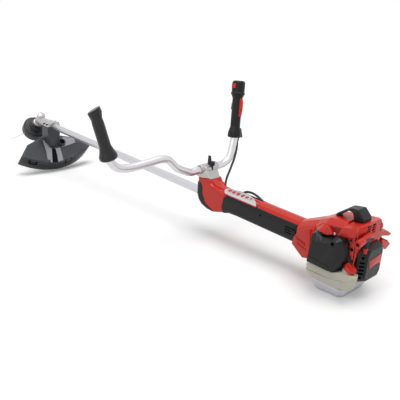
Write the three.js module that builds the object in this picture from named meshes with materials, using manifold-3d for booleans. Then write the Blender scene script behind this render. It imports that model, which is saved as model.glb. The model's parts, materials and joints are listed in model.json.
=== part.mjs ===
// Two-handled string trimmer with a petrol engine: drive tube, gear head, line head, guard,
// handlebar with throttle grip, shaft housing and engine. Millimetres, +Z up, the head towards -X.
import * as THREE from "three";
import { mergeVertices } from "three/addons/utils/BufferGeometryUtils.js";
import { ConvexGeometry } from "three/addons/geometries/ConvexGeometry.js";
import Module from "manifold-3d";

const wasm = await Module();
wasm.setup();

// ---------------------------------------------------------------- driving dimensions
const CLEAR = 0.3; // gap between pieces that touch
const RUN = 0.4; // gap between pieces that turn or slide in each other

const AXIS_HEIGHT = 95; // shaft axis over the floor at the starter's end
const FOOT_CENTRE = -80; // middle of the tank foot along the shaft axis

// Shaft line
const HEAD_X = -1760; // gear centre
const TUBE_R = 14;
const TUBE_WALL = 2;
const SHAFT_R = 4;
const BUSH_X = -1000;
const BUSH_LENGTH = 60;

// Gear head, measured from the gear centre
const LEAN = 44; // output axis against the shaft's perpendicular, degrees
const PINION_TEETH = 11;
const GEAR_TEETH = 15;
const PINION_R = 8.5;
const TOOTH = 1.6;
const OUTPUT_R = 6;
const BARREL_R = 17.5;
const BARREL_TOP = 34;
const BARREL_BOTTOM = -26;
const SOCKET_R = 19;
const SOCKET_END = 88;
const TUBE_START = 46;
const BEARING_WIDTH = 9;

// Line head, heights along the output axis
const COLLAR_R = 28;
const COLLAR_HEIGHT = 6;
const KNURL_R = 33;
const KNURL_HEIGHT = 17;
const SPOOL_CASE_R = 56;
const SPOOL_CASE_HEIGHT = 46;
const SPOOL_WALL = 3.2;
const SPOOL_TRAVEL = 6;
const KNOB_R = 37;
const KNOB_HEIGHT = 15;
const LINE_R = 1.5;
const LINE_REACH = 136;
const LINE_ANGLE = -76;

// Guard, in the plane across the output axis
const GUARD_CENTRE = -36; // arc centre, from the output axis
const GUARD_R = 282;
const GUARD_HALF_ANGLE = 38.5;
const GUARD_SIDE = 7; // arc centre, to the right of the output axis
const GUARD_TOP = 18;
const SKIRT_DEPTH = 60.51; // from the shield's top to the skirt's lower edge
const GUARD_WALL = 3;
const GUARD_CLAMP_LENGTH = 52;
const GUARD_CLAMP_HALF = 31;

// Shaft housing
const HOUSING_HALF = 31;
const HOUSING_ROUND = 8;
const HOUSING_WALL = 3;
const HOUSING_FRONT = -610;
const HOUSING_REAR = -224;
const NECK_TOP = 60;
const NECK_REAR = HOUSING_FRONT + 43;
const NECK_REAR_HALF = 20;
const RIDGE_Z = 38.5;
const DECK_Z = 33.5;
const BELLY_Z = -9;
const SKIN = 2.2;
const CROWN = 46.5; // top of the ridge
const COVER_TOP = 40; // upper edge of the side covers

// Handlebar clamp and handlebar
const BAR_R = 12.3;
const BAR_WALL = 1.8;
const BAR_X = HOUSING_FRONT + 4;
const BAR_Z = 85;
const BAR_LEAN = 8.5;
const CLAMP_HALF = 36;
const KNOB_X = BAR_X + 19;

// Grips
const GRIP_R = 16.5;
const LEFT_GRIP_LENGTH = 139;
const THROTTLE_GRIP_LENGTH = 185;
const THROTTLE_HEAD_Z = 140;
const GRIP_SEAT = 52; // how far the bar goes into the throttle grip
const CABLE_R = 3;

// Engine
const CYLINDER_X = -105;
const BORE_R = 20;
const CRANK_THROW = 14;
const ROD_LENGTH = 46;
const ROD_WIDTH = 9;
const WEB_R = 25;
const WEB_WIDTH = 9.5;
const JOURNAL_R = 7.5;
const CASE_FRONT = -147.7;
const CASE_REAR = -62;
const CASE_HALF = 40;
const CASE_TOP = 36;
const CASE_BOTTOM = -36;
const HEAD_TOP = 84;
const FLYWHEEL_R = 42;
const FLYWHEEL_X = -52;
const FLYWHEEL_WIDTH = 14;
const DRUM_R = 34;
const DRUM_X = -192;
const DRUM_DEPTH = 36;
const PULLEY_R = 21;
const PULLEY_X = -30;
const PULLEY_WIDTH = 12;
const COVER_WALL = 3;
const TANK_WALL = 3;
const TANK_TOP = -20;
const TANK_FLOOR = -62; // joint between the tank and its foot
const CAP_R = 16;
const CAP_LEAN = 30;

// ---------------------------------------------------------------- solids
const rad = THREE.MathUtils.degToRad;
const V = (x, y, z) => new THREE.Vector3(x, y, z);

// The machine stands on its tank foot and on the middle of the skirt's lower edge, so its shaft
// axis rises towards the head by this angle, in degrees.
const guardReach = GUARD_CENTRE + GUARD_R;
const skirtBottom = GUARD_TOP - SKIRT_DEPTH;
const TILT = (() => {
  const [c, s] = [Math.cos(rad(LEAN)), Math.sin(rad(LEAN))];
  const down = skirtBottom * c - guardReach * s;
  const along = -HEAD_X - guardReach * c - skirtBottom * s;
  const angle = -Math.asin(AXIS_HEIGHT / Math.hypot(down, along)) - Math.atan2(down, along);
  return THREE.MathUtils.radToDeg(angle);
})();

// A closed three.js geometry as a solid that can be joined and cut.
function solid(geometry, matrix) {
  const bare = geometry.clone();
  bare.deleteAttribute("normal");
  bare.deleteAttribute("uv");
  if (matrix) bare.applyMatrix4(matrix);
  const merged = mergeVertices(bare, 1e-4);
  const index = merged.index.array;
  const kept = [];
  for (let i = 0; i < index.length; i += 3) {
    const [a, b, c] = [index[i], index[i + 1], index[i + 2]];
    if (a !== b && b !== c && c !== a) kept.push(a, b, c);
  }
  return new wasm.Manifold(
    new wasm.Mesh({
      numProp: 3,
      vertProperties: merged.attributes.position.array,
      triVerts: new Uint32Array(kept),
    }),
  );
}

function box(x, y, z) {
  const g = new THREE.BoxGeometry(x[1] - x[0], y[1] - y[0], z[1] - z[0]);
  g.translate((x[0] + x[1]) / 2, (y[0] + y[1]) / 2, (z[0] + z[1]) / 2);
  return solid(g);
}

// A round bar between two points.
function rod(from, to, radius, segments = 24, endRadius = radius) {
  const along = to.clone().sub(from);
  const g = new THREE.CylinderGeometry(endRadius, radius, along.length(), segments);
  const turn = new THREE.Quaternion().setFromUnitVectors(V(0, 1, 0), along.clone().normalize());
  const middle = from.clone().addScaledVector(along, 0.5);
  return solid(g, new THREE.Matrix4().compose(middle, turn, V(1, 1, 1)));
}

// Round bars along the axes.
const rodX = (x0, x1, radius, y = 0, z = 0, segments = 16) =>
  rod(V(x0, y, z), V(x1, y, z), radius, segments);
const rodY = (y0, y1, radius, x = 0, z = 0, segments = 16) =>
  rod(V(x, y0, z), V(x, y1, z), radius, segments);
const rodZ = (z0, z1, radius, x = 0, y = 0, segments = 16) =>
  rod(V(x, y, z0), V(x, y, z1), radius, segments);

// The profile's [radius, height] pairs run up the outside and turn about Z.
function lathe(profile, segments = 24) {
  const g = new THREE.LatheGeometry(
    profile.map(([r, z]) => new THREE.Vector2(r, z)),
    segments,
  );
  g.rotateX(Math.PI / 2);
  return solid(g);
}

const hull = (points) => solid(new ConvexGeometry(points.map(([x, y, z]) => V(x, y, z))));

// The convex shape of points, larger by g on every side (smaller when g is negative).
function grown(points, g) {
  if (g >= 0) {
    const corners = [-g, g];
    return hull(
      points.flatMap(([x, y, z]) =>
        corners.flatMap((i) => corners.flatMap((j) => corners.map((k) => [x + i, y + j, z + k]))),
      ),
    );
  }
  const middle = [0, 1, 2].map((k) => {
    const side = points.map((p) => p[k]);
    return (Math.min(...side) + Math.max(...side)) / 2;
  });
  return hull(points.map((p) => p.map((v, k) => v + g * Math.sign(v - middle[k]))));
}

// An outline of [x, z] points, thick in Y, with rounded long edges.
function slabY(outline, half, round = 0) {
  const shape = new THREE.Shape(outline.map(([x, z]) => new THREE.Vector2(x, z)));
  const g = new THREE.ExtrudeGeometry(shape, {
    depth: 2 * (half - round),
    bevelEnabled: round > 0,
    bevelSize: round,
    bevelThickness: round,
    bevelSegments: 2,
  });
  g.rotateX(Math.PI / 2);
  g.translate(0, half - round, 0);
  return solid(g);
}

// An outline of [y, z] points, thick in X.
function prismX(outline, x0, x1) {
  const shape = new THREE.Shape(outline.map(([y, z]) => new THREE.Vector2(y, z)));
  const g = new THREE.ExtrudeGeometry(shape, { depth: x1 - x0, bevelEnabled: false });
  g.rotateX(Math.PI / 2);
  g.rotateZ(Math.PI / 2);
  g.translate(x0, 0, 0);
  return solid(g);
}

const prismY = (outline, y0, y1) => slabY(outline, (y1 - y0) / 2).translate([0, (y0 + y1) / 2, 0]);

// An outline of [x, y] points, thick in Z.
function prismZ(outline, z0, z1, hole) {
  const shape = new THREE.Shape(outline.map(([x, y]) => new THREE.Vector2(x, y)));
  if (hole) shape.holes.push(new THREE.Path(hole.map(([x, y]) => new THREE.Vector2(x, y))));
  const g = new THREE.ExtrudeGeometry(shape, { depth: z1 - z0, bevelEnabled: false });
  g.translate(0, 0, z0);
  return solid(g);
}

const ring = (radius, sides) =>
  Array.from({ length: sides }, (_, i) => {
    const a = (2 * Math.PI * i) / sides;
    return new THREE.Vector2(radius * Math.cos(a), radius * Math.sin(a));
  });

// A tube, or a solid cord when wall is 0, along a smooth curve.
function swept(curve, radius, wall, steps, sides) {
  const shape = new THREE.Shape(ring(radius, sides));
  if (wall) shape.holes.push(new THREE.Path(ring(radius - wall, sides)));
  return solid(new THREE.ExtrudeGeometry(shape, { steps, extrudePath: curve, bevelEnabled: false }));
}

const join = (...parts) => parts.reduce((a, b) => a.add(b));
const cut = (body, ...tools) => tools.reduce((a, b) => a.subtract(b), body);

const MATERIALS = {
  red: [0xc8321f, 0.35, 0],
  black: [0x2b2b2d, 0.6, 0],
  guard: [0x4a4c51, 0.65, 0],
  rubber: [0x1c1c1d, 0.9, 0],
  aluminium: [0xc4c4c6, 0.35, 0.9],
  castAlloy: [0xa6a6a6, 0.5, 0.8],
  steel: [0x8d8f92, 0.35, 0.9],
  tank: [0xc9c7b2, 0.5, 0],
  foot: [0xe2e2e6, 0.5, 0],
  foam: [0x3a3a38, 0.95, 0],
  line: [0xc9e8c0, 0.5, 0],
};
const paints = Object.fromEntries(
  Object.entries(MATERIALS).map(([name, [color, roughness, metalness]]) => [
    name,
    new THREE.MeshStandardMaterial({ color, roughness, metalness }),
  ]),
);

// ---------------------------------------------------------------- frames
const trimmer = new THREE.Group();
const machine = new THREE.Group(); // X along the shaft axis, 0 at the starter's end
machine.rotation.y = rad(TILT);
machine.position.set(-FOOT_CENTRE * Math.cos(rad(TILT)), 0, AXIS_HEIGHT);
trimmer.add(machine);

const head = new THREE.Group(); // Z up the output axis, X across it towards the guard's rim
head.position.set(HEAD_X, 0, 0);
head.rotation.y = rad(LEAN);
machine.add(head);

const bar = new THREE.Group(); // Y along the bar in its clamp, Z up the grips
bar.position.set(BAR_X, 0, BAR_Z);
bar.rotation.y = -rad(BAR_LEAN);
machine.add(bar);

function add(name, body, paint, frame = machine) {
  const m = body.getMesh();
  const g = new THREE.BufferGeometry();
  g.setAttribute("position", new THREE.BufferAttribute(m.vertProperties, 3));
  g.setIndex(new THREE.BufferAttribute(m.triVerts, 1));
  g.computeVertexNormals();
  const mesh = new THREE.Mesh(g, paints[paint]);
  mesh.name = name;
  frame.add(mesh);
}

const floorZ = (x) => (x * Math.sin(rad(TILT)) - AXIS_HEIGHT) / Math.cos(rad(TILT));

// A point given along the shaft axis from the gear centre, in the head's frame.
const headPoint = (x, y, z) => {
  const [c, s] = [Math.cos(rad(LEAN)), Math.sin(rad(LEAN))];
  return [x * c - z * s, y, x * s + z * c];
};

// ---------------------------------------------------------------- shaft line
const tubeFront = HEAD_X + TUBE_START;
const tubeRear = DRUM_X - 7;
const tubeBore = TUBE_R - TUBE_WALL;

function shaftLine() {
  const tube = rodX(tubeFront, tubeRear, TUBE_R, 0, 0, 24);
  add("drive_tube", cut(tube, rodX(tubeFront - 1, tubeRear + 1, tubeBore)), "aluminium");
  const bushEnd = BUSH_X + BUSH_LENGTH;
  const bush = rodX(BUSH_X, bushEnd, tubeBore - CLEAR);
  add("shaft_bush", cut(bush, rodX(BUSH_X - 1, bushEnd + 1, SHAFT_R + RUN)), "rubber");
  add("drive_shaft", rodX(HEAD_X + pinionBack, DRUM_X + 3, SHAFT_R, 0, 0, 16), "steel");
}

// ---------------------------------------------------------------- bevel gears
const ratio = GEAR_TEETH / PINION_TEETH;
const gearsAngle = rad(90 - LEAN);
const pinionCone = Math.atan(Math.sin(gearsAngle) / (ratio + Math.cos(gearsAngle)));
const gearCone = gearsAngle - pinionCone;
const coneLength = PINION_R / Math.sin(pinionCone);
const FACE = 0.33; // width of the teeth as a share of the cone's length
const pinionHeel = coneLength * Math.cos(pinionCone);
const gearHeel = coneLength * Math.cos(gearCone);
const pinionBack = pinionHeel + 3;
const shankR = SHAFT_R + 2.5;
const bearingR = shankR + 6;

// A cone of straight teeth that stay inside the pitch cone, its point at the origin, opening up Z.
function bevel(cone, teeth, backHeight) {
  const slant = (r) => [r * Math.sin(cone), r * Math.cos(cone)];
  const [toe, heel] = [slant(coneLength * (1 - FACE)), slant(coneLength)];
  const inside = 0.25;
  let body = lathe([
    [0, toe[1]],
    [toe[0] - TOOTH - inside, toe[1]],
    [heel[0] - TOOTH - inside, heel[1]],
    [heel[0] - TOOTH - inside, heel[1] + backHeight],
    [0, heel[1] + backHeight],
  ]);
  for (let i = 0; i < teeth; i++) {
    const pitch = Math.PI / teeth;
    const at = (r, z, turn) => [r * Math.cos(2 * pitch * i + turn), r * Math.sin(2 * pitch * i + turn), z];
    const tooth = [toe, heel].flatMap(([r, z]) => [
      at(r - inside, z, -0.35 * pitch),
      at(r - inside, z, 0.35 * pitch),
      at(r - TOOTH - 2 * inside, z, -0.7 * pitch),
      at(r - TOOTH - 2 * inside, z, 0.7 * pitch),
    ]);
    body = body.add(hull(tooth));
  }
  return body;
}

function gears() {
  const length = TUBE_START - pinionBack - 1;
  const pinion = cut(
    join(bevel(pinionCone, PINION_TEETH, 3), rodZ(pinionBack - 0.5, pinionBack + length, shankR)),
    rodZ(pinionBack - CLEAR, pinionBack + length + 1, SHAFT_R + CLEAR),
  );
  add("bevel_pinion", pinion.rotate([0, 90, 0]).translate([HEAD_X, 0, 0]), "steel");
  const seat = HEAD_X + pinionBack + 2;
  const bearing = rodX(seat, seat + BEARING_WIDTH, bearingR);
  add("pinion_bearing", cut(bearing, rodX(seat - 1, seat + BEARING_WIDTH + 1, shankR + RUN)), "steel");
}

// ---------------------------------------------------------------- gear case
const collarTop = BARREL_BOTTOM - RUN;
const collarBottom = collarTop - COLLAR_HEIGHT;
const knurlTop = collarBottom - CLEAR;
const caseTop = knurlTop - KNURL_HEIGHT;
const caseBottom = caseTop - SPOOL_CASE_HEIGHT;
const outputBearingR = BARREL_R - 2;

function gearCase() {
  const inward = (d) => V(...headPoint(d, 0, 0));
  const outer = join(
    rodZ(BARREL_BOTTOM, BARREL_TOP, BARREL_R, 0, 0, 24),
    rodZ(BARREL_BOTTOM, BARREL_BOTTOM + 8, BARREL_R + 3, 0, 0, 24),
    rod(inward(0), inward(SOCKET_END), SOCKET_R, 24),
  );
  const gearRoom = gearHeel * Math.tan(gearCone) + 1.5;
  const body = cut(
    outer,
    rodZ(4, BARREL_TOP + 1, gearRoom, 0, 0, 24),
    rodZ(BARREL_BOTTOM - 1, 5, OUTPUT_R + 1),
    rodZ(BARREL_BOTTOM - 1, BARREL_BOTTOM + BEARING_WIDTH + 1, outputBearingR + CLEAR),
    rod(inward(8), inward(pinionBack + 2.5), PINION_R + 1),
    rod(inward(pinionBack + 1), inward(TUBE_START), bearingR + CLEAR),
    rod(inward(TUBE_START - CLEAR), inward(SOCKET_END + 1), TUBE_R + CLEAR, 24),
  );
  add("gear_case", body, "castAlloy", head);
  const dome = lathe([
    [0, BARREL_TOP + CLEAR],
    [BARREL_R, BARREL_TOP + CLEAR],
    [BARREL_R, BARREL_TOP + 3],
    [BARREL_R - 4, BARREL_TOP + 6.5],
    [0, BARREL_TOP + 9],
  ]);
  add("gear_cap", cut(dome, rod(inward(0), inward(SOCKET_END), SOCKET_R + CLEAR, 24)), "castAlloy", head);
  const bearing = rodZ(BARREL_BOTTOM + 0.5, BARREL_BOTTOM + 0.5 + BEARING_WIDTH, outputBearingR, 0, 0, 24);
  add("output_bearing", cut(bearing, rodZ(BARREL_BOTTOM, 0, OUTPUT_R + RUN)), "steel", head);
}

// ---------------------------------------------------------------- line head
function lineHead() {
  const postR = OUTPUT_R + 8;
  const postBottom = caseBottom + 12;
  add(
    "output_shaft",
    join(
      rodZ(postBottom + 4, 6, OUTPUT_R),
      rodZ(5, BARREL_TOP - 1, OUTPUT_R - 1),
      bevel(gearCone, GEAR_TEETH, 4),
    ),
    "steel",
    head,
  );
  const seat = OUTPUT_R + CLEAR;
  add(
    "drive_collar",
    lathe([
      [seat, collarBottom],
      [COLLAR_R - 5, collarBottom],
      [COLLAR_R, collarBottom + 2],
      [COLLAR_R, collarTop],
      [seat, collarTop],
      [seat, collarBottom],
    ]),
    "aluminium",
    head,
  );
  const innerR = SPOOL_CASE_R - SPOOL_WALL;
  const ceiling = caseTop - 6;
  const cup = lathe([
    [seat, postBottom],
    [postR, postBottom],
    [postR, ceiling],
    [innerR - 6, ceiling],
    [innerR, ceiling - 5],
    [innerR, caseBottom],
    [SPOOL_CASE_R - 1, caseBottom],
    [SPOOL_CASE_R, caseBottom + 2],
    [SPOOL_CASE_R, caseTop - 10],
    [SPOOL_CASE_R - 5, caseTop - 4],
    [KNURL_R + 9, caseTop - 3],
    [KNURL_R + 8, caseTop],
    [KNURL_R, caseTop],
    [KNURL_R, knurlTop - 2],
    [KNURL_R - 2, knurlTop],
    [seat, knurlTop],
    [seat, postBottom],
  ]);
  const lineZ = (ceiling - 5 + caseBottom) / 2;
  const way = V(Math.cos(rad(LINE_ANGLE)), Math.sin(rad(LINE_ANGLE)), 0);
  const at = (d) => way.clone().multiplyScalar(d).setZ(lineZ);
  const eyelets = rod(at(-SPOOL_CASE_R - 2), at(SPOOL_CASE_R + 2), LINE_R + CLEAR, 12);
  add("spool_case", cut(cup, eyelets), "guard", head);
  const spoolTop = ceiling - SPOOL_TRAVEL - 1;
  const flangeR = innerR - 2.5;
  const coreR = postR + 10;
  const bore = postR + RUN;
  const wound = coreR + RUN;
  const windings = lathe([
    [wound, lineZ - 4],
    [wound + 9, lineZ - 4],
    [wound + 9, lineZ + 4],
    [wound, lineZ + 4],
    [wound, lineZ - 4],
  ]);
  const tails = [-1, 1].map((side) => rod(at(side * (wound + 6)), at(side * LINE_REACH), LINE_R, 8));
  add("trimmer_line", join(windings, ...tails), "line", head);

  add(
    "line_spool",
    lathe([
      [0, caseBottom - KNOB_HEIGHT],
      [KNOB_R - 9, caseBottom - KNOB_HEIGHT],
      [KNOB_R, caseBottom - KNOB_HEIGHT + 7],
      [KNOB_R, caseBottom - 1],
      [flangeR, caseBottom + 1],
      [flangeR, caseBottom + 5],
      [coreR, caseBottom + 5],
      [coreR, spoolTop - 3],
      [flangeR - 5, spoolTop - 3],
      [flangeR - 5, spoolTop],
      [bore, spoolTop],
      [bore, caseBottom + 3],
      [0, caseBottom + 3],
    ]),
    "guard",
    head,
  );
}

// ---------------------------------------------------------------- guard
function guardArc(radius, steps = 20, half = GUARD_HALF_ANGLE) {
  return Array.from({ length: steps + 1 }, (_, i) => {
    const a = rad(-half + (2 * half * i) / steps);
    return [GUARD_CENTRE + radius * Math.cos(a), GUARD_SIDE + radius * Math.sin(a)];
  });
}

function guard() {
  const shoulder = [0.465 * GUARD_R, 0.42 * GUARD_R];
  const root = [0.37 * GUARD_R, 0.16 * GUARD_R];
  const mirrored = ([x, y]) => [x, -y];
  const front = [shoulder, root, mirrored(root), mirrored(shoulder)];
  const outline = [...guardArc(GUARD_R - GUARD_WALL - CLEAR), ...front];
  const plate = prismZ(outline, GUARD_TOP - GUARD_WALL, GUARD_TOP);
  const spine = box([root[0], guardReach - 12], [-11, 11], [GUARD_TOP - 1, GUARD_TOP + 5]);
  const x0 = SOCKET_END + CLEAR;
  const saddle = [x0, x0 + GUARD_CLAMP_LENGTH];
  const pad = (x, z) => [headPoint(x, -GUARD_CLAMP_HALF, z), headPoint(x, GUARD_CLAMP_HALF, z)];
  const bracket = hull([
    ...pad(saddle[0], 0),
    ...pad(saddle[1], 0),
    ...pad(saddle[0], -14),
    ...pad(saddle[1], -20),
    [root[0] - 4, -30, GUARD_TOP - GUARD_WALL],
    [root[0] - 4, 30, GUARD_TOP - GUARD_WALL],
    [root[0] + 62, -22, GUARD_TOP - GUARD_WALL],
    [root[0] + 62, 22, GUARD_TOP - GUARD_WALL],
    [root[0] + 62, -20, GUARD_TOP + 6],
    [root[0] + 62, 20, GUARD_TOP + 6],
  ]);
  const inward = (d) => V(...headPoint(d, 0, 0));
  const tubeWay = rod(inward(0), inward(SOCKET_END + 200), TUBE_R + CLEAR, 24);
  const socketWay = rod(inward(0), inward(SOCKET_END + CLEAR), SOCKET_R + CLEAR, 24);
  add("guard_shield", cut(join(plate, spine, bracket), tubeWay, socketWay), "guard", head);

  const strap = hull([
    ...[saddle[0], saddle[1]].flatMap((x) => [...pad(x, CLEAR), ...pad(x, 6)]),
    ...[saddle[0], saddle[1]].flatMap((x) => [headPoint(x, -13, TUBE_R + 5), headPoint(x, 13, TUBE_R + 5)]),
  ]);
  const bolts = [-1, 1].flatMap((side) =>
    [0.25, 0.75].map((share) => {
      const x = saddle[0] + share * GUARD_CLAMP_LENGTH;
      const y = side * (GUARD_CLAMP_HALF - 7);
      return rod(V(...headPoint(x, y, 4)), V(...headPoint(x, y, 15)), 5, 6);
    }),
  );
  add("guard_clamp", cut(join(strap, ...bolts), tubeWay), "castAlloy", head);

  const rim = [...guardArc(GUARD_R), ...guardArc(GUARD_R - GUARD_WALL).reverse()];
  const band = prismZ(rim, skirtBottom, GUARD_TOP + 1);
  const clips = [-1, 1].map((side) => {
    const a = rad(side * 0.36 * GUARD_HALF_ANGLE);
    const block = box([-16, 0], [-11, 11], [GUARD_TOP + CLEAR, GUARD_TOP + 3]);
    const [x, y] = [GUARD_CENTRE + (GUARD_R - 1) * Math.cos(a), GUARD_SIDE + (GUARD_R - 1) * Math.sin(a)];
    return block.rotate([0, 0, THREE.MathUtils.radToDeg(a)]).translate([x, y, 0]);
  });
  const rimTop = prismZ(rim, GUARD_TOP - 2, GUARD_TOP + 3);
  const posts = clips.map((clip) => clip.translate([0, 0, -1]).intersect(rimTop));
  add("guard_skirt", join(band, ...clips, ...posts), "guard", head);
}

// ---------------------------------------------------------------- shaft housing
const housingOutline = [
  [HOUSING_FRONT, NECK_TOP + 4],
  [HOUSING_FRONT, 4],
  [HOUSING_FRONT + 6, -11],
  [HOUSING_FRONT + 18, -22],
  [HOUSING_FRONT + 42, -29],
  [HOUSING_FRONT + 74, -30],
  [HOUSING_FRONT + 104, -21],
  [HOUSING_FRONT + 134, BELLY_Z - 2],
  [HOUSING_FRONT + 170, BELLY_Z],
  [HOUSING_REAR, BELLY_Z],
  [HOUSING_REAR, RIDGE_Z],
  [-366, RIDGE_Z],
  [-374, DECK_Z],
  [HOUSING_FRONT + 118, DECK_Z],
  [HOUSING_FRONT + 82, DECK_Z + 1],
  [HOUSING_FRONT + 58, DECK_Z + 4],
  [HOUSING_FRONT + 43, DECK_Z + 10],
  [NECK_REAR - HOUSING_ROUND, NECK_TOP - 4],
  [NECK_REAR - HOUSING_ROUND - 2, NECK_TOP + 4],
];
const crownEdge = [
  [HOUSING_HALF, 22],
  [HOUSING_HALF - 3, CROWN - 14],
  [HOUSING_HALF - 14, CROWN - 3.5],
  [0, CROWN],
];

// The housing's outer form, larger by extra on every side: a rounded slab, its back arched behind
// the neck, the neck itself narrower towards the rear.
function housingBody(extra) {
  const arch = crownEdge.map(([y, z]) => [y && y + extra, z + extra]);
  const half = [...arch, [0, -90], [HOUSING_HALF + extra, -90]];
  const crown = [1, -1].map((side) => prismX(half.map(([y, z]) => [side * y, z]), -512, -150));
  const neck = [1, -1].map((side) =>
    hull([
      [HOUSING_FRONT - 20, 0, -90],
      [HOUSING_FRONT - 20, side * 60, -90],
      [-510, 0, -90],
      [-510, side * 60, -90],
      [HOUSING_FRONT - 20, 0, 90],
      [HOUSING_FRONT + 4, side * (HOUSING_HALF + 2 + extra), 90],
      [HOUSING_FRONT - 20, side * (HOUSING_HALF + 2 + extra), 90],
      [HOUSING_FRONT - 20, side * 60, 0],
      [HOUSING_FRONT + 10, side * 60, 0],
      [NECK_REAR, side * (NECK_REAR_HALF + extra), NECK_TOP + extra],
      [NECK_REAR, 0, 90],
      [NECK_REAR, side * (NECK_REAR_HALF + extra - 6), 90],
      [-510, side * (HOUSING_HALF + extra), 22 + extra],
      [-510, side * (HOUSING_HALF - 3 + extra), CROWN - 14 + extra],
      [-510, side * (HOUSING_HALF - 14 + extra), CROWN - 3.5 + extra],
      [-510, 0, CROWN + extra],
    ]),
  );
  const top = box([-700, -400], [-90, 90], [NECK_TOP + extra, 120]);
  const slab = slabY(housingOutline, HOUSING_HALF + extra, HOUSING_ROUND + extra);
  return cut(slab.intersect(join(...crown, ...neck)), top);
}

function housing() {
  const outer = housingBody(0);
  const inner = housingBody(-HOUSING_WALL);
  const tubeHole = rodX(HOUSING_FRONT - 30, HOUSING_REAR + 30, TUBE_R + CLEAR, 0, 0, 24);
  const cableHole = rodY(10, 60, CABLE_R + CLEAR, -392, 28, 12);
  const shell = cut(outer, inner, tubeHole);
  for (const [name, side] of [["housing_left", -1], ["housing_right", 1]]) {
    const across = side < 0 ? [-60, -CLEAR / 2] : [CLEAR / 2, 60];
    const half = box([HOUSING_FRONT - 40, HOUSING_REAR + 40], across, [-80, 120]);
    add(name, cut(shell.intersect(half), cableHole), "red");
  }
  const skin = cut(housingBody(SKIN), housingBody(CLEAR));
  const coverOutline = [
    [-484, COVER_TOP],
    [-497, COVER_TOP - 16],
    [-503, -8],
    [-492, -40],
    [HOUSING_REAR + 7.5, -40],
    [HOUSING_REAR + 7.5, COVER_TOP - 4],
    [-362, COVER_TOP - 4],
    [-370, COVER_TOP],
  ];
  const screwHoles = [[-344, 20], [-224, 20]].map(([x, z]) => rodY(-60, 60, 3.5, x, z, 12));
  const slots = [4, 12, 20].map((z) => box([-252, -228], [-60, 60], [z - 2, z + 2]));
  const cableMouth = rodY(10, 60, CABLE_R + 2, -392, 28, 12);
  for (const [name, y] of [["side_cover_left", [-50, -6]], ["side_cover_right", [6, 50]]])
    add(name, cut(skin.intersect(prismY(coverOutline, ...y)), ...screwHoles, ...slots, cableMouth), "black");

  const frontOutline = [
    [HOUSING_FRONT - 20, NECK_TOP - 17],
    [HOUSING_FRONT + 8, NECK_TOP - 17],
    [HOUSING_FRONT + 16, 30],
    [HOUSING_FRONT + 16, 8],
    [HOUSING_FRONT + 32, -20],
    [HOUSING_FRONT + 66, -33],
    [HOUSING_FRONT + 76, -60],
    [HOUSING_FRONT - 20, -60],
  ];
  add("front_cover", cut(skin.intersect(prismY(frontOutline, -50, 50)), tubeHole), "black");

  const saddle = box([-494, -373], [-60, 60], [COVER_TOP - 8, 90]);
  const windows = [0, 1, 2, 3, 4, 5].flatMap((i) =>
    [-1, 1].map((side) => {
      const x = -487 + 17 * i;
      const y = [side * (9 + i), side * 20].sort((a, b) => a - b);
      return box([x, x + 10 - 0.5 * i], y, [COVER_TOP - 12, 80]);
    }),
  );
  const tailSide = [[-452, 0], [-444, 6], [-404, 11], [-372, 21], [-360, 21]];
  const tail = prismZ([...tailSide, ...tailSide.slice(1).reverse().map(([x, y]) => [x, -y])], 0, 90);
  const clearOfCovers = prismY(coverOutline, -60, 60);
  add("trim_strip", cut(skin.intersect(saddle), clearOfCovers, tail, ...windows), "aluminium");
}

// ---------------------------------------------------------------- clutch housing
const bellFront = HOUSING_REAR + HOUSING_ROUND + CLEAR;
const bellRear = CASE_FRONT - CLEAR;
const mountR = TUBE_R + 7;
const bellPoints = [
  ...[-1, 1].flatMap((s) => [
    [bellFront, s * 30, -17],
    [bellFront, s * 30, 32],
    [bellFront, s * 17, 43],
    [bellFront, 0, CROWN],
    [bellRear, s * 54, -34],
    [bellRear, s * 54, 42],
    [bellRear, s * 42, 64],
    [bellRear, s * 24, 76],
    [bellRear, s * 30, -46],
    [bellRear - 14, s * 54, -22],
  ]),
];

function clutch() {
  const mountEnd = DRUM_X - 4;
  const rubber = cut(rodX(bellFront + 1, mountEnd - 1, mountR), rodX(bellFront, mountEnd, TUBE_R + CLEAR));
  add("rubber_mount", rubber, "rubber");
  const vents = [0, 1].flatMap((column) =>
    [0, 1, 2, 3, 4].map((row) => {
      const x = -186 + 16 * column;
      const z = 2 + 5 * row;
      return box([x, x + 11], [-70, -30], [z, z + 2.4]);
    }),
  );
  const bell = cut(
    hull(bellPoints),
    rodX(bellFront - 1, mountEnd, mountR + CLEAR),
    rodX(mountEnd - 1, mountEnd + 2, TUBE_R + 2),
    rodX(mountEnd, bellRear + 1, DRUM_R + 3, 0, 0, 24),
    ...vents,
  );
  add("clutch_housing", bell, "red");

  const drumEnd = DRUM_X + DRUM_DEPTH;
  const rim = cut(
    rodX(DRUM_X, drumEnd, DRUM_R, 0, 0, 24),
    rodX(DRUM_X + 3, drumEnd + 1, DRUM_R - 3, 0, 0, 24),
  );
  const hub = rodX(DRUM_X - 3, DRUM_X + 8, 9);
  add("clutch_drum", cut(join(rim, hub), rodX(DRUM_X - 4, DRUM_X + 9, SHAFT_R + CLEAR)), "steel");
  const shoeR = DRUM_R - 5;
  const rotor = cut(
    rodX(DRUM_X + 14, DRUM_X + 30, shoeR, 0, 0, 24),
    box([DRUM_X, 0], [-60, 60], [9, 12]),
    box([DRUM_X, 0], [-60, 60], [-12, -9]),
  );
  const arms = box([DRUM_X + 14, DRUM_X + 30], [-6, 6], [-20, 20]);
  add("clutch_rotor", cut(join(rotor, arms), rodX(DRUM_X, DRUM_X + 40, JOURNAL_R + CLEAR)), "steel");
}

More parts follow.
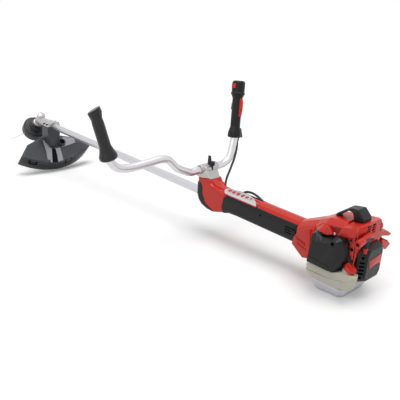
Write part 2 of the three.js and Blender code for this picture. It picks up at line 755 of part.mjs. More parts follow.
// ---------------------------------------------------------------- handlebar clamp
function clamp() {
  const seat = NECK_TOP + CLEAR;
  const front = BAR_X - BAR_R - 4;
  const barWay = rodY(-60, 60, BAR_R + RUN + 0.2, BAR_X, BAR_Z, 24);
  const stud = 3.5;
  const studWay = rodZ(seat + 4, 200, stud + RUN, KNOB_X, 0, 16);
  const rearTop = KNOB_X + 4; // the block's top ends just behind the stud
  const split = BAR_Z - CLEAR / 2;
  const block = hull(
    [-1, 1].flatMap((s) => [
      [front, s * CLAMP_HALF, split],
      [BAR_X, s * CLAMP_HALF, split],
      [rearTop, s * (NECK_REAR_HALF + 3), split],
      [front + 2, s * (HOUSING_HALF + 1), seat],
      [BAR_X + 4, s * (HOUSING_HALF + 1), seat],
      [NECK_REAR - 1, s * NECK_REAR_HALF, seat],
    ]),
  );
  add("clamp_base", cut(block, barWay, studWay), "castAlloy");
  const top = BAR_Z + CLEAR / 2;
  const deck = BAR_Z + BAR_R + 2;
  const cap = join(
    cut(rodY(-CLAMP_HALF, CLAMP_HALF, BAR_R + 4, BAR_X, BAR_Z, 24), box([-700, -500], [-60, 60], [0, top])),
    hull(
      [-1, 1].flatMap((s) => [
        [BAR_X, s * (CLAMP_HALF - 4), top],
        [BAR_X, s * (CLAMP_HALF - 4), deck],
        [rearTop, s * (NECK_REAR_HALF + 3), top],
        [rearTop - 3, s * (NECK_REAR_HALF + 2), deck - 3],
      ]),
    ),
  );
  add("clamp_cap", cut(cap, barWay, studWay), "castAlloy");
  const hub = deck + RUN;
  const knob = join(
    rodZ(seat + 8, hub + 5, stud, KNOB_X, 0, 16),
    rodZ(hub, hub + 12, 9, KNOB_X, 0, 20),
    hull(
      [KNOB_X - 7, KNOB_X + 7].flatMap((x) => [
        [x, -14, hub + 3],
        [x, -7, hub + 3],
        [KNOB_X + (x - KNOB_X) * 0.7, -14, hub + 34],
        [KNOB_X + (x - KNOB_X) * 0.7, -11, hub + 34],
      ]),
    ),
  );
  add("clamp_knob", knob, "black");
}

// ---------------------------------------------------------------- handlebar and grips
// Grip seats in the bar's frame: where the bar enters, and its lean outwards
const LEFT_SEAT = { y: -363, z: 91, lean: 13 };
const RIGHT_SEAT = { y: 126, z: 80, lean: -10 };
const barEnd = (seat, depth) => {
  const a = rad(seat.lean);
  return V(0, seat.y - Math.sin(a) * depth, seat.z + Math.cos(a) * depth);
};

function gripFrame(seat) {
  const frame = new THREE.Group();
  frame.position.set(0, seat.y, seat.z);
  frame.rotation.x = rad(seat.lean);
  bar.add(frame);
  return frame;
}

function handlebar() {
  const left = [
    barEnd(LEFT_SEAT, LEFT_GRIP_LENGTH - 8),
    barEnd(LEFT_SEAT, 80),
    barEnd(LEFT_SEAT, 32),
    barEnd(LEFT_SEAT, 16),
    barEnd(LEFT_SEAT, -8),
    V(0, -343, 66),
    V(0, -318, 57.5),
    V(0, -290, 55.5),
    V(0, -250, 57),
    V(0, -205, 60),
    V(0, -180, 60),
    V(0, -157, 53),
    V(0, -128, 24),
    V(0, -98, 9),
    V(0, -76, 0),
    V(0, -52, 0),
  ];
  const right = [
    V(0, 0, 0),
    V(0, 46, 0),
    V(0, 72, 3),
    V(0, 95, 14),
    V(0, 109, 34),
    V(0, 118, 58),
    barEnd(RIGHT_SEAT, 2),
    barEnd(RIGHT_SEAT, 24),
    barEnd(RIGHT_SEAT, GRIP_SEAT - 2),
  ];
  const curve = new THREE.CatmullRomCurve3([...left, ...right], false, "centripetal");
  add("handlebar", swept(curve, BAR_R, BAR_WALL, 34, 12), "aluminium", bar);

  const grip = gripFrame(LEFT_SEAT);
  const top = LEFT_GRIP_LENGTH;
  add(
    "left_grip",
    cut(
      lathe([
        [0, 0],
        [22, 0],
        [26, 5],
        [26, 12],
        [21, 24],
        [GRIP_R, 40],
        [GRIP_R, top - 36],
        [GRIP_R - 1, top - 22],
        [GRIP_R + 3, top - 5],
        [GRIP_R + 2, top - 1],
        [0, top],
      ]),
      rodZ(-1, top - 6, BAR_R + RUN, 0, 0, 16),
      rodZ(-1, 26, BAR_R + 3, 0, 0, 16),
    ),
    "rubber",
    grip,
  );
  throttle(gripFrame(RIGHT_SEAT));
}

function throttle(grip) {
  const top = THROTTLE_GRIP_LENGTH;
  const headZ = THROTTLE_HEAD_Z;
  const headR = GRIP_R + 5;
  const cableBoot = hull([
    ...[[-6, 6], [18, 6], [18, 22], [-6, 24]].map(([x, y]) => [x, y, 2]),
    ...[[-2, 4], [14, 4], [14, 16], [-2, 16]].map(([x, y]) => [x, y, 32]),
  ]);
  const shell = join(
    lathe([
      [0, 0],
      [20, 0],
      [23, 5],
      [22, 18],
      [GRIP_R, 36],
      [GRIP_R, headZ - 12],
      [headR, headZ],
      [headR + 2, headZ + 1],
      [headR + 2, headZ + 5],
      [headR, headZ + 6],
      [headR, top - 6],
      [headR - 4, top - 1],
      [0, top],
    ]),
    cableBoot,
  );
  const room = GRIP_R - 3;
  const trigger = { x: -GRIP_R + 3, z: 124, half: 4 };
  const lock = { x: GRIP_R - 2, z: 72, top: 128, half: 5.5 };
  const button = { z: headZ + 27, half: 7.5 };
  const around = (middle, half) => [middle - half, middle + half];
  const body = cut(
    shell,
    rodZ(-1, GRIP_SEAT, BAR_R + RUN, 0, 0, 16),
    rodZ(-1, 16, BAR_R + 2.5, 0, 0, 16),
    rodZ(GRIP_SEAT + 4, top - 6, room),
    box([-40, 0], [-trigger.half - RUN, trigger.half + RUN], [trigger.z - 38, trigger.z + 6]),
    box([0, 40], [-lock.half - RUN, lock.half + RUN], [lock.z - 4, lock.top + 1]),
    box(around(0, button.half + RUN), [-40, 0], around(button.z, button.half + RUN)),
    rodZ(-1, 22, CABLE_R + 1, -2, 17, 12),
  );
  add("throttle_grip", body, "black", grip);
  const lever = join(
    rodY(-trigger.half, trigger.half, 3, trigger.x, trigger.z, 16),
    prismY(
      [
        [trigger.x + 2, trigger.z + 2],
        [trigger.x - 4, trigger.z + 2],
        [trigger.x - 14, trigger.z - 14],
        [trigger.x - 17, trigger.z - 32],
        [trigger.x - 13, trigger.z - 33],
        [trigger.x - 9, trigger.z - 16],
        [trigger.x + 1, trigger.z - 4],
      ],
      -trigger.half,
      trigger.half,
    ),
  );
  add("throttle_trigger", lever, "red", grip);
  const strip = prismY(
    [
      [lock.x - 3, lock.z - 3],
      [lock.x + 4, lock.z - 3],
      [lock.x + 8, lock.z + 20],
      [lock.x + 8, lock.top - 12],
      [lock.x + 4, lock.top],
      [lock.x, lock.top],
      [lock.x, lock.z + 8],
    ],
    -lock.half,
    lock.half,
  );
  add("throttle_lockout", strip, "red", grip);
  add(
    "stop_switch",
    box(around(0, button.half), [-headR - 3, -headR + 7], around(button.z, button.half)),
    "red",
    grip,
  );
}

// From the throttle grip down beside the neck, over the housing's right shoulder and into it.
const CABLE_ROUTE = [
  [-621.4, 145.2, 174.5],
  [-619.1, 142.4, 159],
  [-613, 137, 141],
  [-606, 128, 122],
  [-597, 111, 98],
  [-588, 86, 69],
  [-580, 64, 44],
  [-570, 50, 22],
  [-552, 42, 8],
  [-530, 40, 4],
  [-508, 39, 12],
  [-486, 38.5, 26],
  [-466, 38, 38],
  [-444, 38, 42],
  [-424, 38.5, 39],
  [-408, 39, 33],
  [-398, 38, 29],
  [-392, 33, 28],
  [-392, 24, 28],
];

function cable() {
  const curve = new THREE.CatmullRomCurve3(CABLE_ROUTE.map((p) => V(...p)), false, "centripetal");
  add("throttle_cable", swept(curve, CABLE_R, 0, 36, 8), "rubber");
}

// ---------------------------------------------------------------- engine
const pinZ = CRANK_THROW + ROD_LENGTH;
const pistonTop = pinZ + 11;
const skirtZ = pinZ - 6;
const webGap = ROD_WIDTH / 2 + 2;
const caseEnvelope = [CASE_FRONT, CASE_REAR].flatMap((x) =>
  [-CASE_HALF, CASE_HALF].flatMap((y) => [CASE_BOTTOM, CASE_TOP].map((z) => [x, y, z])),
);
const finHalf = { x: 24, y: 30 };
const portHalf = 11;
const portZ = 50;

function crank() {
  const webs = [CYLINDER_X - webGap - WEB_WIDTH, CYLINDER_X + webGap + WEB_WIDTH];
  const room = WEB_R + 2.5; // the connecting rod's big end swings inside it
  const throat = BORE_R + CLEAR;
  const body = cut(
    grown(caseEnvelope, 0),
    rodX(webs[0] - 2, webs[1] + 2, room, 0, 0, 24),
    rodX(CASE_FRONT - 1, CASE_REAR + 1, JOURNAL_R + RUN),
    rodZ(0, CASE_TOP + 1, throat, CYLINDER_X, 0, 32),
    box([CYLINDER_X - webGap, CYLINDER_X + webGap], [-room, room], [0, CASE_TOP - 4]),
  );
  add("crankcase", body, "castAlloy");
  const front = join(
    rodX(DRUM_X + 12, webs[0] + 1, JOURNAL_R),
    rodX(webs[0], CYLINDER_X - webGap, WEB_R, 0, 0, 24),
  );
  const rear = join(
    rodX(CYLINDER_X + webGap, webs[1], WEB_R, 0, 0, 24),
    rodX(webs[1] - 1, PULLEY_X - 4, JOURNAL_R),
  );
  add("crankshaft_front", front, "steel");
  add("crankshaft_rear", rear, "steel");

  const piston = cut(
    rodZ(skirtZ, pistonTop, BORE_R - RUN, CYLINDER_X, 0, 32),
    rodZ(skirtZ - 1, pistonTop - 3.5, BORE_R - 4, CYLINDER_X, 0, 24),
  );
  const pinReach = BORE_R - 3;
  const pin = rodX(CYLINDER_X - pinReach, CYLINDER_X + pinReach, 4, 0, pinZ, 16);
  add("piston", join(piston, pin), "castAlloy");
  const x = [CYLINDER_X - ROD_WIDTH / 2, CYLINDER_X + ROD_WIDTH / 2];
  const conrod = cut(
    join(
      rodX(...x, 6.2, 0, pinZ),
      rodX(...x, 8.5, 0, CRANK_THROW),
      box([x[0] + 2, x[1] - 2], [-3.5, 3.5], [CRANK_THROW, pinZ]),
    ),
    rodX(x[0] - 1, x[1] + 1, 4 + RUN, 0, pinZ),
    rodX(x[0] - 1, x[1] + 1, 5.5, 0, CRANK_THROW),
  );
  add("connecting_rod", conrod, "steel");
}

const plugZ = HEAD_TOP - 6.5;

function cylinder() {
  const base = CASE_TOP + CLEAR;
  const fins = [0, 1, 2, 3, 4].map((i) => {
    const z = base + 6 + 7.6 * i;
    return box([CYLINDER_X - finHalf.x, CYLINDER_X + finHalf.x], [-finHalf.y, finHalf.y], [z, z + 2.4]);
  });
  const portSpan = (middle) => [middle - portHalf, middle + portHalf];
  const ports = box(portSpan(CYLINDER_X), [-CASE_HALF - 2, CASE_HALF + 2], portSpan(portZ));
  const plugWay = rodX(CYLINDER_X, CYLINDER_X + 60, 5 + CLEAR, 0, plugZ, 16);
  const body = cut(
    join(
      rodZ(base, HEAD_TOP - 9, BORE_R + 5, CYLINDER_X, 0, 24),
      rodZ(HEAD_TOP - 10, HEAD_TOP, BORE_R + 2, CYLINDER_X, 0, 24),
      ...fins,
      ports,
    ),
    rodZ(base - 1, pistonTop + 4, BORE_R + CLEAR, CYLINDER_X, 0, 32),
    plugWay,
    box([CYLINDER_X + BORE_R + 1, CYLINDER_X + 60], [-11, 11], [plugZ - 11, HEAD_TOP + 4]),
  );
  add("cylinder", body, "castAlloy");
  const x = CYLINDER_X + 15;
  add(
    "spark_plug",
    join(
      rodX(x, x + 16, 5, 0, plugZ, 16),
      rodX(x + 14, x + 22, 9, 0, plugZ, 6),
      rodX(x + 21, x + 34, 6, 0, plugZ, 16),
    ),
    "steel",
  );
}

// ---------------------------------------------------------------- casings
const ringR = FLYWHEEL_R + 5;
const fanPoints = [
  [CASE_REAR + 4.3, -66, -2],
  [CASE_REAR + 4.3, -66, 90],
  [CASE_REAR + 4.3, -50, 102],
  [CASE_REAR + 4.3, 50, 102],
  [CASE_REAR + 4.3, 62, 86],
  [CASE_REAR + 4.3, 62, -2],
  [-20, -63, 2],
  [-20, -63, 84],
  [-22, -46, 106],
  [-24, 46, 108],
  [-24, 64, 84],
  [-24, 58, 20],
  [-11, -32, 60],
  [-11, -32, 96],
  [-11, -20, 113],
  [-11, 34, 111],
  [-11, 50, 92],
  [-11, 46, 60],
];
const starterPoints = [
  ...[-1, 1].flatMap((s) => [
    [-33, s * 51, -32],
    [-33, s * 36, -46],
    [-33, s * 51, 36],
    [-33, s * 36, 55],
    [-12, s * 48, -30],
    [-12, s * 34, -44],
    [-12, s * 48, 34],
    [-12, s * 36, 54],
    [8, s * 34, -24],
    [8, s * 26, -36],
    [8, s * 34, 34],
    [8, s * 26, 48],
  ]),
];
const coverPoints = [
  [CASE_FRONT + 0.7, -50, 10],
  [CASE_FRONT + 0.7, 50, 10],
  [CASE_FRONT + 0.7, -52, 42],
  [CASE_FRONT + 0.7, 52, 42],
  [CASE_FRONT + 0.7, -42, 66],
  [CASE_FRONT + 0.7, 42, 66],
  [CASE_FRONT + 0.7, -24, 78],
  [CASE_FRONT + 0.7, 24, 78],
  [-112, -50, 87],
  [-112, 50, 87],
  [-112, -34, 97],
  [-112, 34, 97],
  [CASE_REAR + 4, -52, 98],
  [CASE_REAR + 4, 52, 98],
  [CASE_REAR + 4, -38, 106],
  [CASE_REAR + 4, 38, 106],
  [CASE_REAR + 4, -60, 10],
  [CASE_REAR + 4, 58, 10],
  [-118, -78, 62],
  [CASE_REAR + 4, -79, 74],
  [-118, -76, 68],
  [CASE_REAR + 4, -77, 82],
];
const filterPoints = [
  [-122, -100, -8],
  [-50, -100, -9],
  [-46, -100, 68],
  [-113, -100, 48],
  [-128, -82, -12],
  [-120, -80, 66],
  [-44, -80, 82],
  [-32, -80, 64],
  [-28, -80, 24],
  [-46, -80, -13],
  [-128, -57, -12],
  [-120, -57, 66],
  [-44, -57, 82],
  [-32, -62, 64],
  [-28, -62, 24],
  [-46, -57, -13],
];
// Rings of the tank from its top to its floor: [height, how far its sides stand in].
const TANK_FRONT = CASE_FRONT + 6.5;
const tankRings = [
  [TANK_TOP, 2],
  [TANK_TOP - 18, 0],
  [TANK_FLOOR, 8],
];
const tankPoints = tankRings.flatMap(([z, inset]) => [
  [TANK_FRONT + inset, -73 + inset, z],
  [TANK_FRONT + 11 + inset, -86 + inset, z],
  [-36, -86 + inset, z],
  [-20, -71 + inset, z],
  [-20, 59 - inset, z],
  [-34, 73 - inset, z],
  [TANK_FRONT + 11 + inset, 73 - inset, z],
  [TANK_FRONT + inset, 59 - inset, z],
]);
// The filler's lobe beside the starter
const lobePoints = [
  [-62, -85, TANK_TOP - 2],
  [-62, -57.5, TANK_TOP - 2],
  [-34, -85, TANK_TOP + 11],
  [-34, -57.5, TANK_TOP + 11],
  [-4, -84, TANK_TOP + 12],
  [8, -74, TANK_TOP + 12],
  [2, -57.5, TANK_TOP + 12],
  [-2, -85, TANK_TOP],
  [9, -74, TANK_TOP],
  [2, -57.5, TANK_TOP],
  [-62, -80, TANK_FLOOR + 4],
  [-62, -57.5, TANK_FLOOR + 4],
  [-14, -78, TANK_FLOOR + 6],
  [-3, -70, TANK_FLOOR + 12],
  [-3, -57.5, TANK_FLOOR + 12],
];
const mufflerPoints = [-132, -80].flatMap((x) =>
  [CASE_HALF + 2.3, 80].flatMap((y) => [10, 66].map((z) => [x, y, z])),
);
const CAP_SEAT = V(-19, -68.5, -1);
const capAxis = V(Math.sin(rad(CAP_LEAN)), 0, Math.cos(rad(CAP_LEAN)));
const capAt = (d) => CAP_SEAT.clone().addScaledVector(capAxis, d);

function casings() {
  const flywheelRoom = rodX(CASE_REAR - 1, -33, FLYWHEEL_R + 1.5, 0, 0, 32);
  const starterRoom = grown(starterPoints, CLEAR);
  const underside = box([-70, -20], [-45, 45], [-60, 0]);
  const shoulder = cut(hull(fanPoints), flywheelRoom, grown(fanPoints, -COVER_WALL), underside);

  const grille = [-27, -5].flatMap((y) =>
    [0, 1, 2, 3, 4, 5, 6].map((row) => box([-18, 0], [y, y + 17], [61 + 6.8 * row, 65 + 6.8 * row])),
  );
  const edgeHoles = [38, 47].flatMap((y) => [80, 88, 96].map((z) => rodX(-30, 0, 2.6, y, z, 8)));
  const bandHoles = [[-30, 72], [-25, 50]].map(([x, z]) => rodY(-90, -40, 4.6, x, z, 16));
  const ringWall = cut(rodX(CASE_REAR + 4.3, -33.3, ringR, 0, 0, 32), flywheelRoom);
  const fan = cut(
    join(cut(shoulder, starterRoom), cut(ringWall, starterRoom)),
    box([CASE_REAR + 3, CASE_REAR + 4.3 + COVER_WALL], [-58, 56], [8, 96]),
    grown(filterPoints, CLEAR),
    capRoom(),
    ...grille,
    ...edgeHoles,
    ...bandHoles,
  );
  add("fan_housing", fan, "red");

  const slots = [0, 1, 2, 3].map((i) => box([-8, 6], [-60, -34], [-24 + 11 * i, -18 + 11 * i]));
  const ropeHole = rod(ropeAt(20), ropeAt(90), ROPE_R + CLEAR, 16);
  const ropeBoss = rod(ropeAt(32), ropeAt(70), SLEEVE_R + 5, 20).intersect(hull(starterPoints));
  const sleeveSeat = rod(ropeAt(ROPE.sleeve - CLEAR), ropeAt(90), SLEEVE_R + 2 * RUN, 20);
  const post = rodX(PULLEY_X - 1, 6, 6, 0, 0, 20);
  const openBack = box([-40, -30], [-51, 51], [-47, 52]);
  const shell = cut(hull(starterPoints), grown(starterPoints, -COVER_WALL), openBack, ...slots);
  const starter = join(cut(join(shell, ropeBoss), ropeHole, sleeveSeat), post);
  add("starter_cover", starter, "black");
  const pulleyEnd = PULLEY_X + PULLEY_WIDTH;
  const flanges = [PULLEY_X, pulleyEnd - 2].map((x) => rodX(x, x + 2, PULLEY_R + 4, 0, 0, 24));
  const pulley = cut(
    join(rodX(PULLEY_X, pulleyEnd, PULLEY_R, 0, 0, 24), ...flanges),
    rodX(PULLEY_X - 1, pulleyEnd + 1, 6 + RUN),
  );
  add("starter_pulley", pulley, "black");

  const wheelEnd = FLYWHEEL_X + FLYWHEEL_WIDTH;
  const hub = rodX(FLYWHEEL_X - 5, wheelEnd, 14);
  const disc = rodX(FLYWHEEL_X, FLYWHEEL_X + 4, FLYWHEEL_R, 0, 0, 32);
  const vanes = Array.from({ length: 12 }, (_, i) =>
    box([FLYWHEEL_X + 3, wheelEnd], [-1.5, 1.5], [18, FLYWHEEL_R - 1]).rotate([30 * i, 0, 0]),
  );
  const journalWay = rodX(FLYWHEEL_X - 6, wheelEnd + 6, JOURNAL_R + CLEAR);
  add("flywheel", cut(join(hub, disc, ...vanes), journalWay), "castAlloy");

  const notch = hull([
    [-96, -56, 110],
    [-56, -56, 110],
    [-96, -60, 84],
    [-56, -60, 90],
    [-84, -92, 70],
    [-70, -92, 74],
    [-96, -92, 110],
    [-56, -92, 110],
  ]);
  const cover = cut(
    hull(coverPoints),
    grown(coverPoints, -COVER_WALL),
    box([CASE_FRONT - 5, CASE_REAR + 20], [-120, 120], [-20, 36.5]),
    grown(filterPoints, CLEAR),
    box([CASE_REAR - 4, CASE_REAR + 6], [-46, 46], [30, 94]),
    box([-136, CASE_REAR - 6], [38, 120], [30, 72]),
    box([CYLINDER_X - 16, CYLINDER_X + 16], [-90, -40], [30, 66]),
    notch,
  );
  add("engine_cover", cover, "red");

  const handleOutline = [
    [-118, 92],
    [-112, 104],
    [-74, 134],
    [-44, 139],
    [-25, 120],
    [-23, 100],
  ];
  const arch = hull([
    ...handleOutline.slice(0, 3).flatMap(([x, z]) => [[x, -10, z], [x, 10, z]]),
    ...handleOutline.slice(3).flatMap(([x, z]) => [[x, -28, z], [x, 10, z]]),
    [-66, -22, 135],
    [-66, 10, 135],
  ]);
  const window = prismY([[-104, 101], [-74, 125], [-60, 125], [-54, 108], [-54, 96], [-104, 96]], -60, 60);
  add("top_handle", cut(arch, window, grown(coverPoints, CLEAR), grown(fanPoints, CLEAR)), "black");
}

function sideCovers() {
  const filterShell = cut(
    hull(filterPoints),
    grown(filterPoints, -COVER_WALL),
    box([-140, -10], [-60.5, -50], [-30, 100]),
    rodY(-110, -60, 3.2, COVER_SCREW.x, COVER_SCREW.z, 12),
    rodY(-110, -96, 6, COVER_SCREW.x, COVER_SCREW.z, 16),
    capRoom(),
  );
  add("air_filter_cover", filterShell, "black");
  const screw = (y0, y1, radius) => rodY(y0, y1, radius, COVER_SCREW.x, COVER_SCREW.z, 16);
  add("air_cover_screw", join(screw(-104, -66, 2.8), screw(-106, -100.6, 5.4)), "steel");
  const carbFront = -CASE_HALF - 2 - CLEAR;
  const carb = join(
    box([CYLINDER_X - 13, CYLINDER_X + 13], [-60, carbFront], [portZ - 13, portZ + 12]),
    rodY(-69.7, -59, 11, CYLINDER_X, portZ, 24),
  );
  add("carburettor", cut(carb, rodY(-80, carbFront - 6, 8, CYLINDER_X, portZ, 20)), "castAlloy");
  add("air_filter", box([-112, -62], [-86, -70], [4, 48]), "foam");

  const exhaust = cut(
    grown(mufflerPoints, 0),
    rodY(78, 90, 6, -120, 24, 16),
    grown(mufflerPoints, -2),
  );
  add("muffler", exhaust, "steel");
  const guardOuter = [
    [-140, 68, 2],
    [-140, 68, 72],
    [-138, 86, 8],
    [-138, 86, 66],
    [-22, 58, 2],
    [-30, 58, 76],
    [-26, 88, 14],
    [-30, 88, 60],
  ];
  const louvres = [16, 28, 40, 52].map((z) => box([-126, -44], [70, 120], [z, z + 5]));
  const fins = [
    [[-48, 84, 57], [-48, 84, 60], [-12, 88, 59], [-12, 88, 61], [-30, 96, 58], [-30, 96, 60]],
    [[-48, 84, 24], [-48, 84, 28], [-10, 86, 36], [-10, 86, 39], [-24, 98, 18], [-24, 98, 21]],
  ].map(hull);
  const guardRoom = box([-136, -34], [50, 84], [6, 70]);
  const mufflerRoom = box([-137, -75], [60, 84.5], [5, 71]);
  const guardShell = join(cut(hull(guardOuter), guardRoom, ...louvres), ...fins);
  add("muffler_guard", cut(guardShell, grown(fanPoints, CLEAR), mufflerRoom), "red");
}

const COVER_SCREW = { x: -60, z: 62 };
const capRoom = () => rod(capAt(-3), capAt(20), CAP_R + 2, 24);

function fuelTank() {
  // the space that the engine takes, larger by g
  const rooms = (g) => [
    grown(caseEnvelope, CLEAR + g),
    rodX(CASE_REAR - 2 - g, -30, ringR + CLEAR + g, 0, 0, 32),
    grown(starterPoints, CLEAR + g),
    box(
      [CASE_FRONT - 8, CASE_REAR + 20 + g],
      [-CASE_HALF - CLEAR - g, CASE_HALF + CLEAR + g],
      [CASE_BOTTOM - CLEAR - g, 20],
    ),
  ];
  const neck = rod(capAt(-12), capAt(0), CAP_R - 3, 24);
  const mouth = rod(capAt(-30), capAt(2), CAP_R - 6, 24);
  const outer = join(cut(join(hull(tankPoints), hull(lobePoints)), ...rooms(0)), neck);
  const inner = cut(join(grown(tankPoints, -TANK_WALL), grown(lobePoints, -TANK_WALL)), ...rooms(TANK_WALL));
  const capSpace = rod(capAt(0), capAt(20), CAP_R + 1, 24);
  const neighbours = [grown(fanPoints, CLEAR), grown(filterPoints, CLEAR), capSpace];
  add("fuel_tank", cut(outer, inner, mouth, ...neighbours), "tank");

  const top = TANK_FLOOR - CLEAR;
  const footTop = [
    [-127, -70],
    [-118, -78],
    [-34, -78],
    [-22, -64],
    [-22, 50],
    [-34, 64],
    [-118, 64],
    [-127, 52],
  ];
  const footSide = [
    [-122, 46],
    [-112, 54],
    [-48, 54],
    [-38, 44],
  ];
  const footFloor = [...footSide, ...footSide.map(([x, y]) => [x, -y])];
  const shell = hull([
    ...footTop.map(([x, y]) => [x, y, top]),
    ...footFloor.map(([x, y]) => [x, y, floorZ(x)]),
  ]);
  const room = hull([
    ...footTop.map(([x, y]) => [x * 0.96 - 3, y * 0.94, top + 1]),
    ...footFloor.map(([x, y]) => [x * 0.9 - 8, y * 0.9, floorZ(x) + 6]),
  ]);
  add("tank_foot", cut(shell, room), "foot");

  const cap = new THREE.Group();
  cap.position.copy(capAt(CLEAR));
  cap.rotation.y = rad(CAP_LEAN);
  machine.add(cap);
  add(
    "fuel_cap",
    join(
      lathe([
        [0, 0],
        [CAP_R, 0],
        [CAP_R, 8],
        [CAP_R - 2, 10],
        [0, 10],
      ]),
      box([-CAP_R + 3, CAP_R - 3], [-3, 3], [9, 15]),
      rodZ(-10, 1, CAP_R - 6 - CLEAR),
    ),
    "red",
    cap,
  );
}

// ---------------------------------------------------------------- starter rope and grip
const ROPE_R = 1.7;
const SLEEVE_R = 5.8;
const ROPE = { x: -2.5, y: -37, from: 34, sleeve: 42, to: 70 };
const ropeAt = (z) => V(ROPE.x, ROPE.y, z);

function starterGrip() {
  const upright = new THREE.Group(); // the rope comes out square to the shaft
  upright.position.set(ROPE.x, ROPE.y, 0);
  machine.add(upright);
  add("starter_rope", rodZ(ROPE.from, ROPE.sleeve - CLEAR, ROPE_R, 0, 0, 16), "black", upright);
  // sections along the bar: [y, half width, bottom, top]
  const sections = [
    [-33, 7.5, ROPE.to - 3, ROPE.to + 18],
    [0, 7, ROPE.to + 1, ROPE.to + 21],
    [27, 6.5, ROPE.to + 9, ROPE.to + 21],
  ];
  const gripBar = hull(
    sections.flatMap(([y, half, bottom, top]) => [
      [-half + 1.5, y, bottom],
      [half - 1.5, y, bottom],
      [-half, y, bottom + 4],
      [half, y, bottom + 4],
      [-half + 2, y, top],
      [half - 2, y, top],
    ]),
  );
  const sleeve = rod(V(0, 0, ROPE.sleeve), V(0, 0, ROPE.to + 6), SLEEVE_R, 20, SLEEVE_R + 1);
  add("starter_grip", join(gripBar, sleeve), "red", upright);
}

shaftLine();
gears();
gearCase();
lineHead();
guard();
housing();
clutch();
clamp();
handlebar();
cable();
crank();
cylinder();
casings();
sideCovers();
fuelTank();
starterGrip();

export default trimmer;
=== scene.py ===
"""Looks of the two-handled string trimmer: finishes, detailed pieces, camera, lights and floor.

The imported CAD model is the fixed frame. Pieces are drawn in millimetres in the frame of the part
that they sit on, and placed in metres in the model's own frame.
"""

import json
import math

import bmesh
import bpy
from mathutils import Matrix, Quaternion, Vector

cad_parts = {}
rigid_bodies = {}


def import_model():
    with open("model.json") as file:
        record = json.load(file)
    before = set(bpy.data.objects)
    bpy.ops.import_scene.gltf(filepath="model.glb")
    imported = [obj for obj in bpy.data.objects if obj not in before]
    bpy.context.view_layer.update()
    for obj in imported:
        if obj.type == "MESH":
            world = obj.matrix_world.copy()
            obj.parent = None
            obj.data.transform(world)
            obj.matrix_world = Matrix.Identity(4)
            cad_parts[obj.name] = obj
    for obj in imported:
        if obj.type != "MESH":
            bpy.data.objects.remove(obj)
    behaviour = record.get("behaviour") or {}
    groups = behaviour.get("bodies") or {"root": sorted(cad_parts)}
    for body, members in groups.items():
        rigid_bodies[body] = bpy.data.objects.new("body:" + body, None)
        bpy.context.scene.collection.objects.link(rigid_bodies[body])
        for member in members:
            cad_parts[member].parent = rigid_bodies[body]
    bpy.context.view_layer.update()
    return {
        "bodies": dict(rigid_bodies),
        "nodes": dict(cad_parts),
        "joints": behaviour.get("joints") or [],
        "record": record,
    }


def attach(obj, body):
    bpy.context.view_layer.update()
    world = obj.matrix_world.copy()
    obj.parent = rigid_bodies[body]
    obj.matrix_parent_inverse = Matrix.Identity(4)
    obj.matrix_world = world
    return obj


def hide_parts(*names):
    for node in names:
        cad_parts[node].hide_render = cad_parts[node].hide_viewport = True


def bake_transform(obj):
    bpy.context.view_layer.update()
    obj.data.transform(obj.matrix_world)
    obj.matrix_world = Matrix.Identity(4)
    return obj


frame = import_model()
nodes = frame["nodes"]
joints = {joint["name"]: joint for joint in frame["joints"]}
MM = 0.001
UP = (0, 0, 1)

# ---------------------------------------------------------------- frames
ACROSS = Vector((0, 1, 0))  # from the machine's left to its right


def frame_of(origin, x, z):
    """A frame in millimetres at origin, its X along x and its Z near z."""
    along = Vector(x).normalized()
    side = Vector(z).cross(along).normalized()
    columns = Matrix((along, side, along.cross(side))).transposed().to_4x4()
    columns.translation = Vector(origin)
    return columns @ Matrix.Scale(MM, 4)


def turned(base, origin, axis, degrees):
    """A frame inside base, moved to origin and turned about an axis."""
    return base @ Matrix.Translation(origin) @ Matrix.Rotation(math.radians(degrees), 4, axis)


shaft = joints["drive_spin"]
output = joints["head_spin"]
MACHINE = frame_of(shaft["pos_m"], shaft["axis"], joints["clamp_knob_turn"]["axis"])
HEAD = frame_of(output["pos_m"], ACROSS.cross(Vector(output["axis"])), output["axis"])
# How far the handlebar leans back, and where each grip sits on it: y, z and lean in degrees.
BAR_LEAN = 8.5
LEFT_SEAT = {"y": -363, "z": 91, "lean": 13}
RIGHT_SEAT = {"y": 126, "z": 80, "lean": -10}
clamp_axis = MACHINE.inverted() @ Vector(joints["handlebar_tilt"]["pos_m"])
BAR = turned(MACHINE, clamp_axis, "Y", -BAR_LEAN)


def grip_frame(seat):
    """A grip's frame: the origin at its lower end, z up along it."""
    return turned(BAR, (0, seat["y"], seat["z"]), "X", seat["lean"])


LEFT_GRIP = grip_frame(LEFT_SEAT)
RIGHT_GRIP = grip_frame(RIGHT_SEAT)


# ---------------------------------------------------------------- materials
EDGE_LIGHT_FROM, EDGE_LIGHT_TO = 0.53, 0.62  # the pointiness at which an edge begins to be lightened, as wear and painted highlight, and is fully so
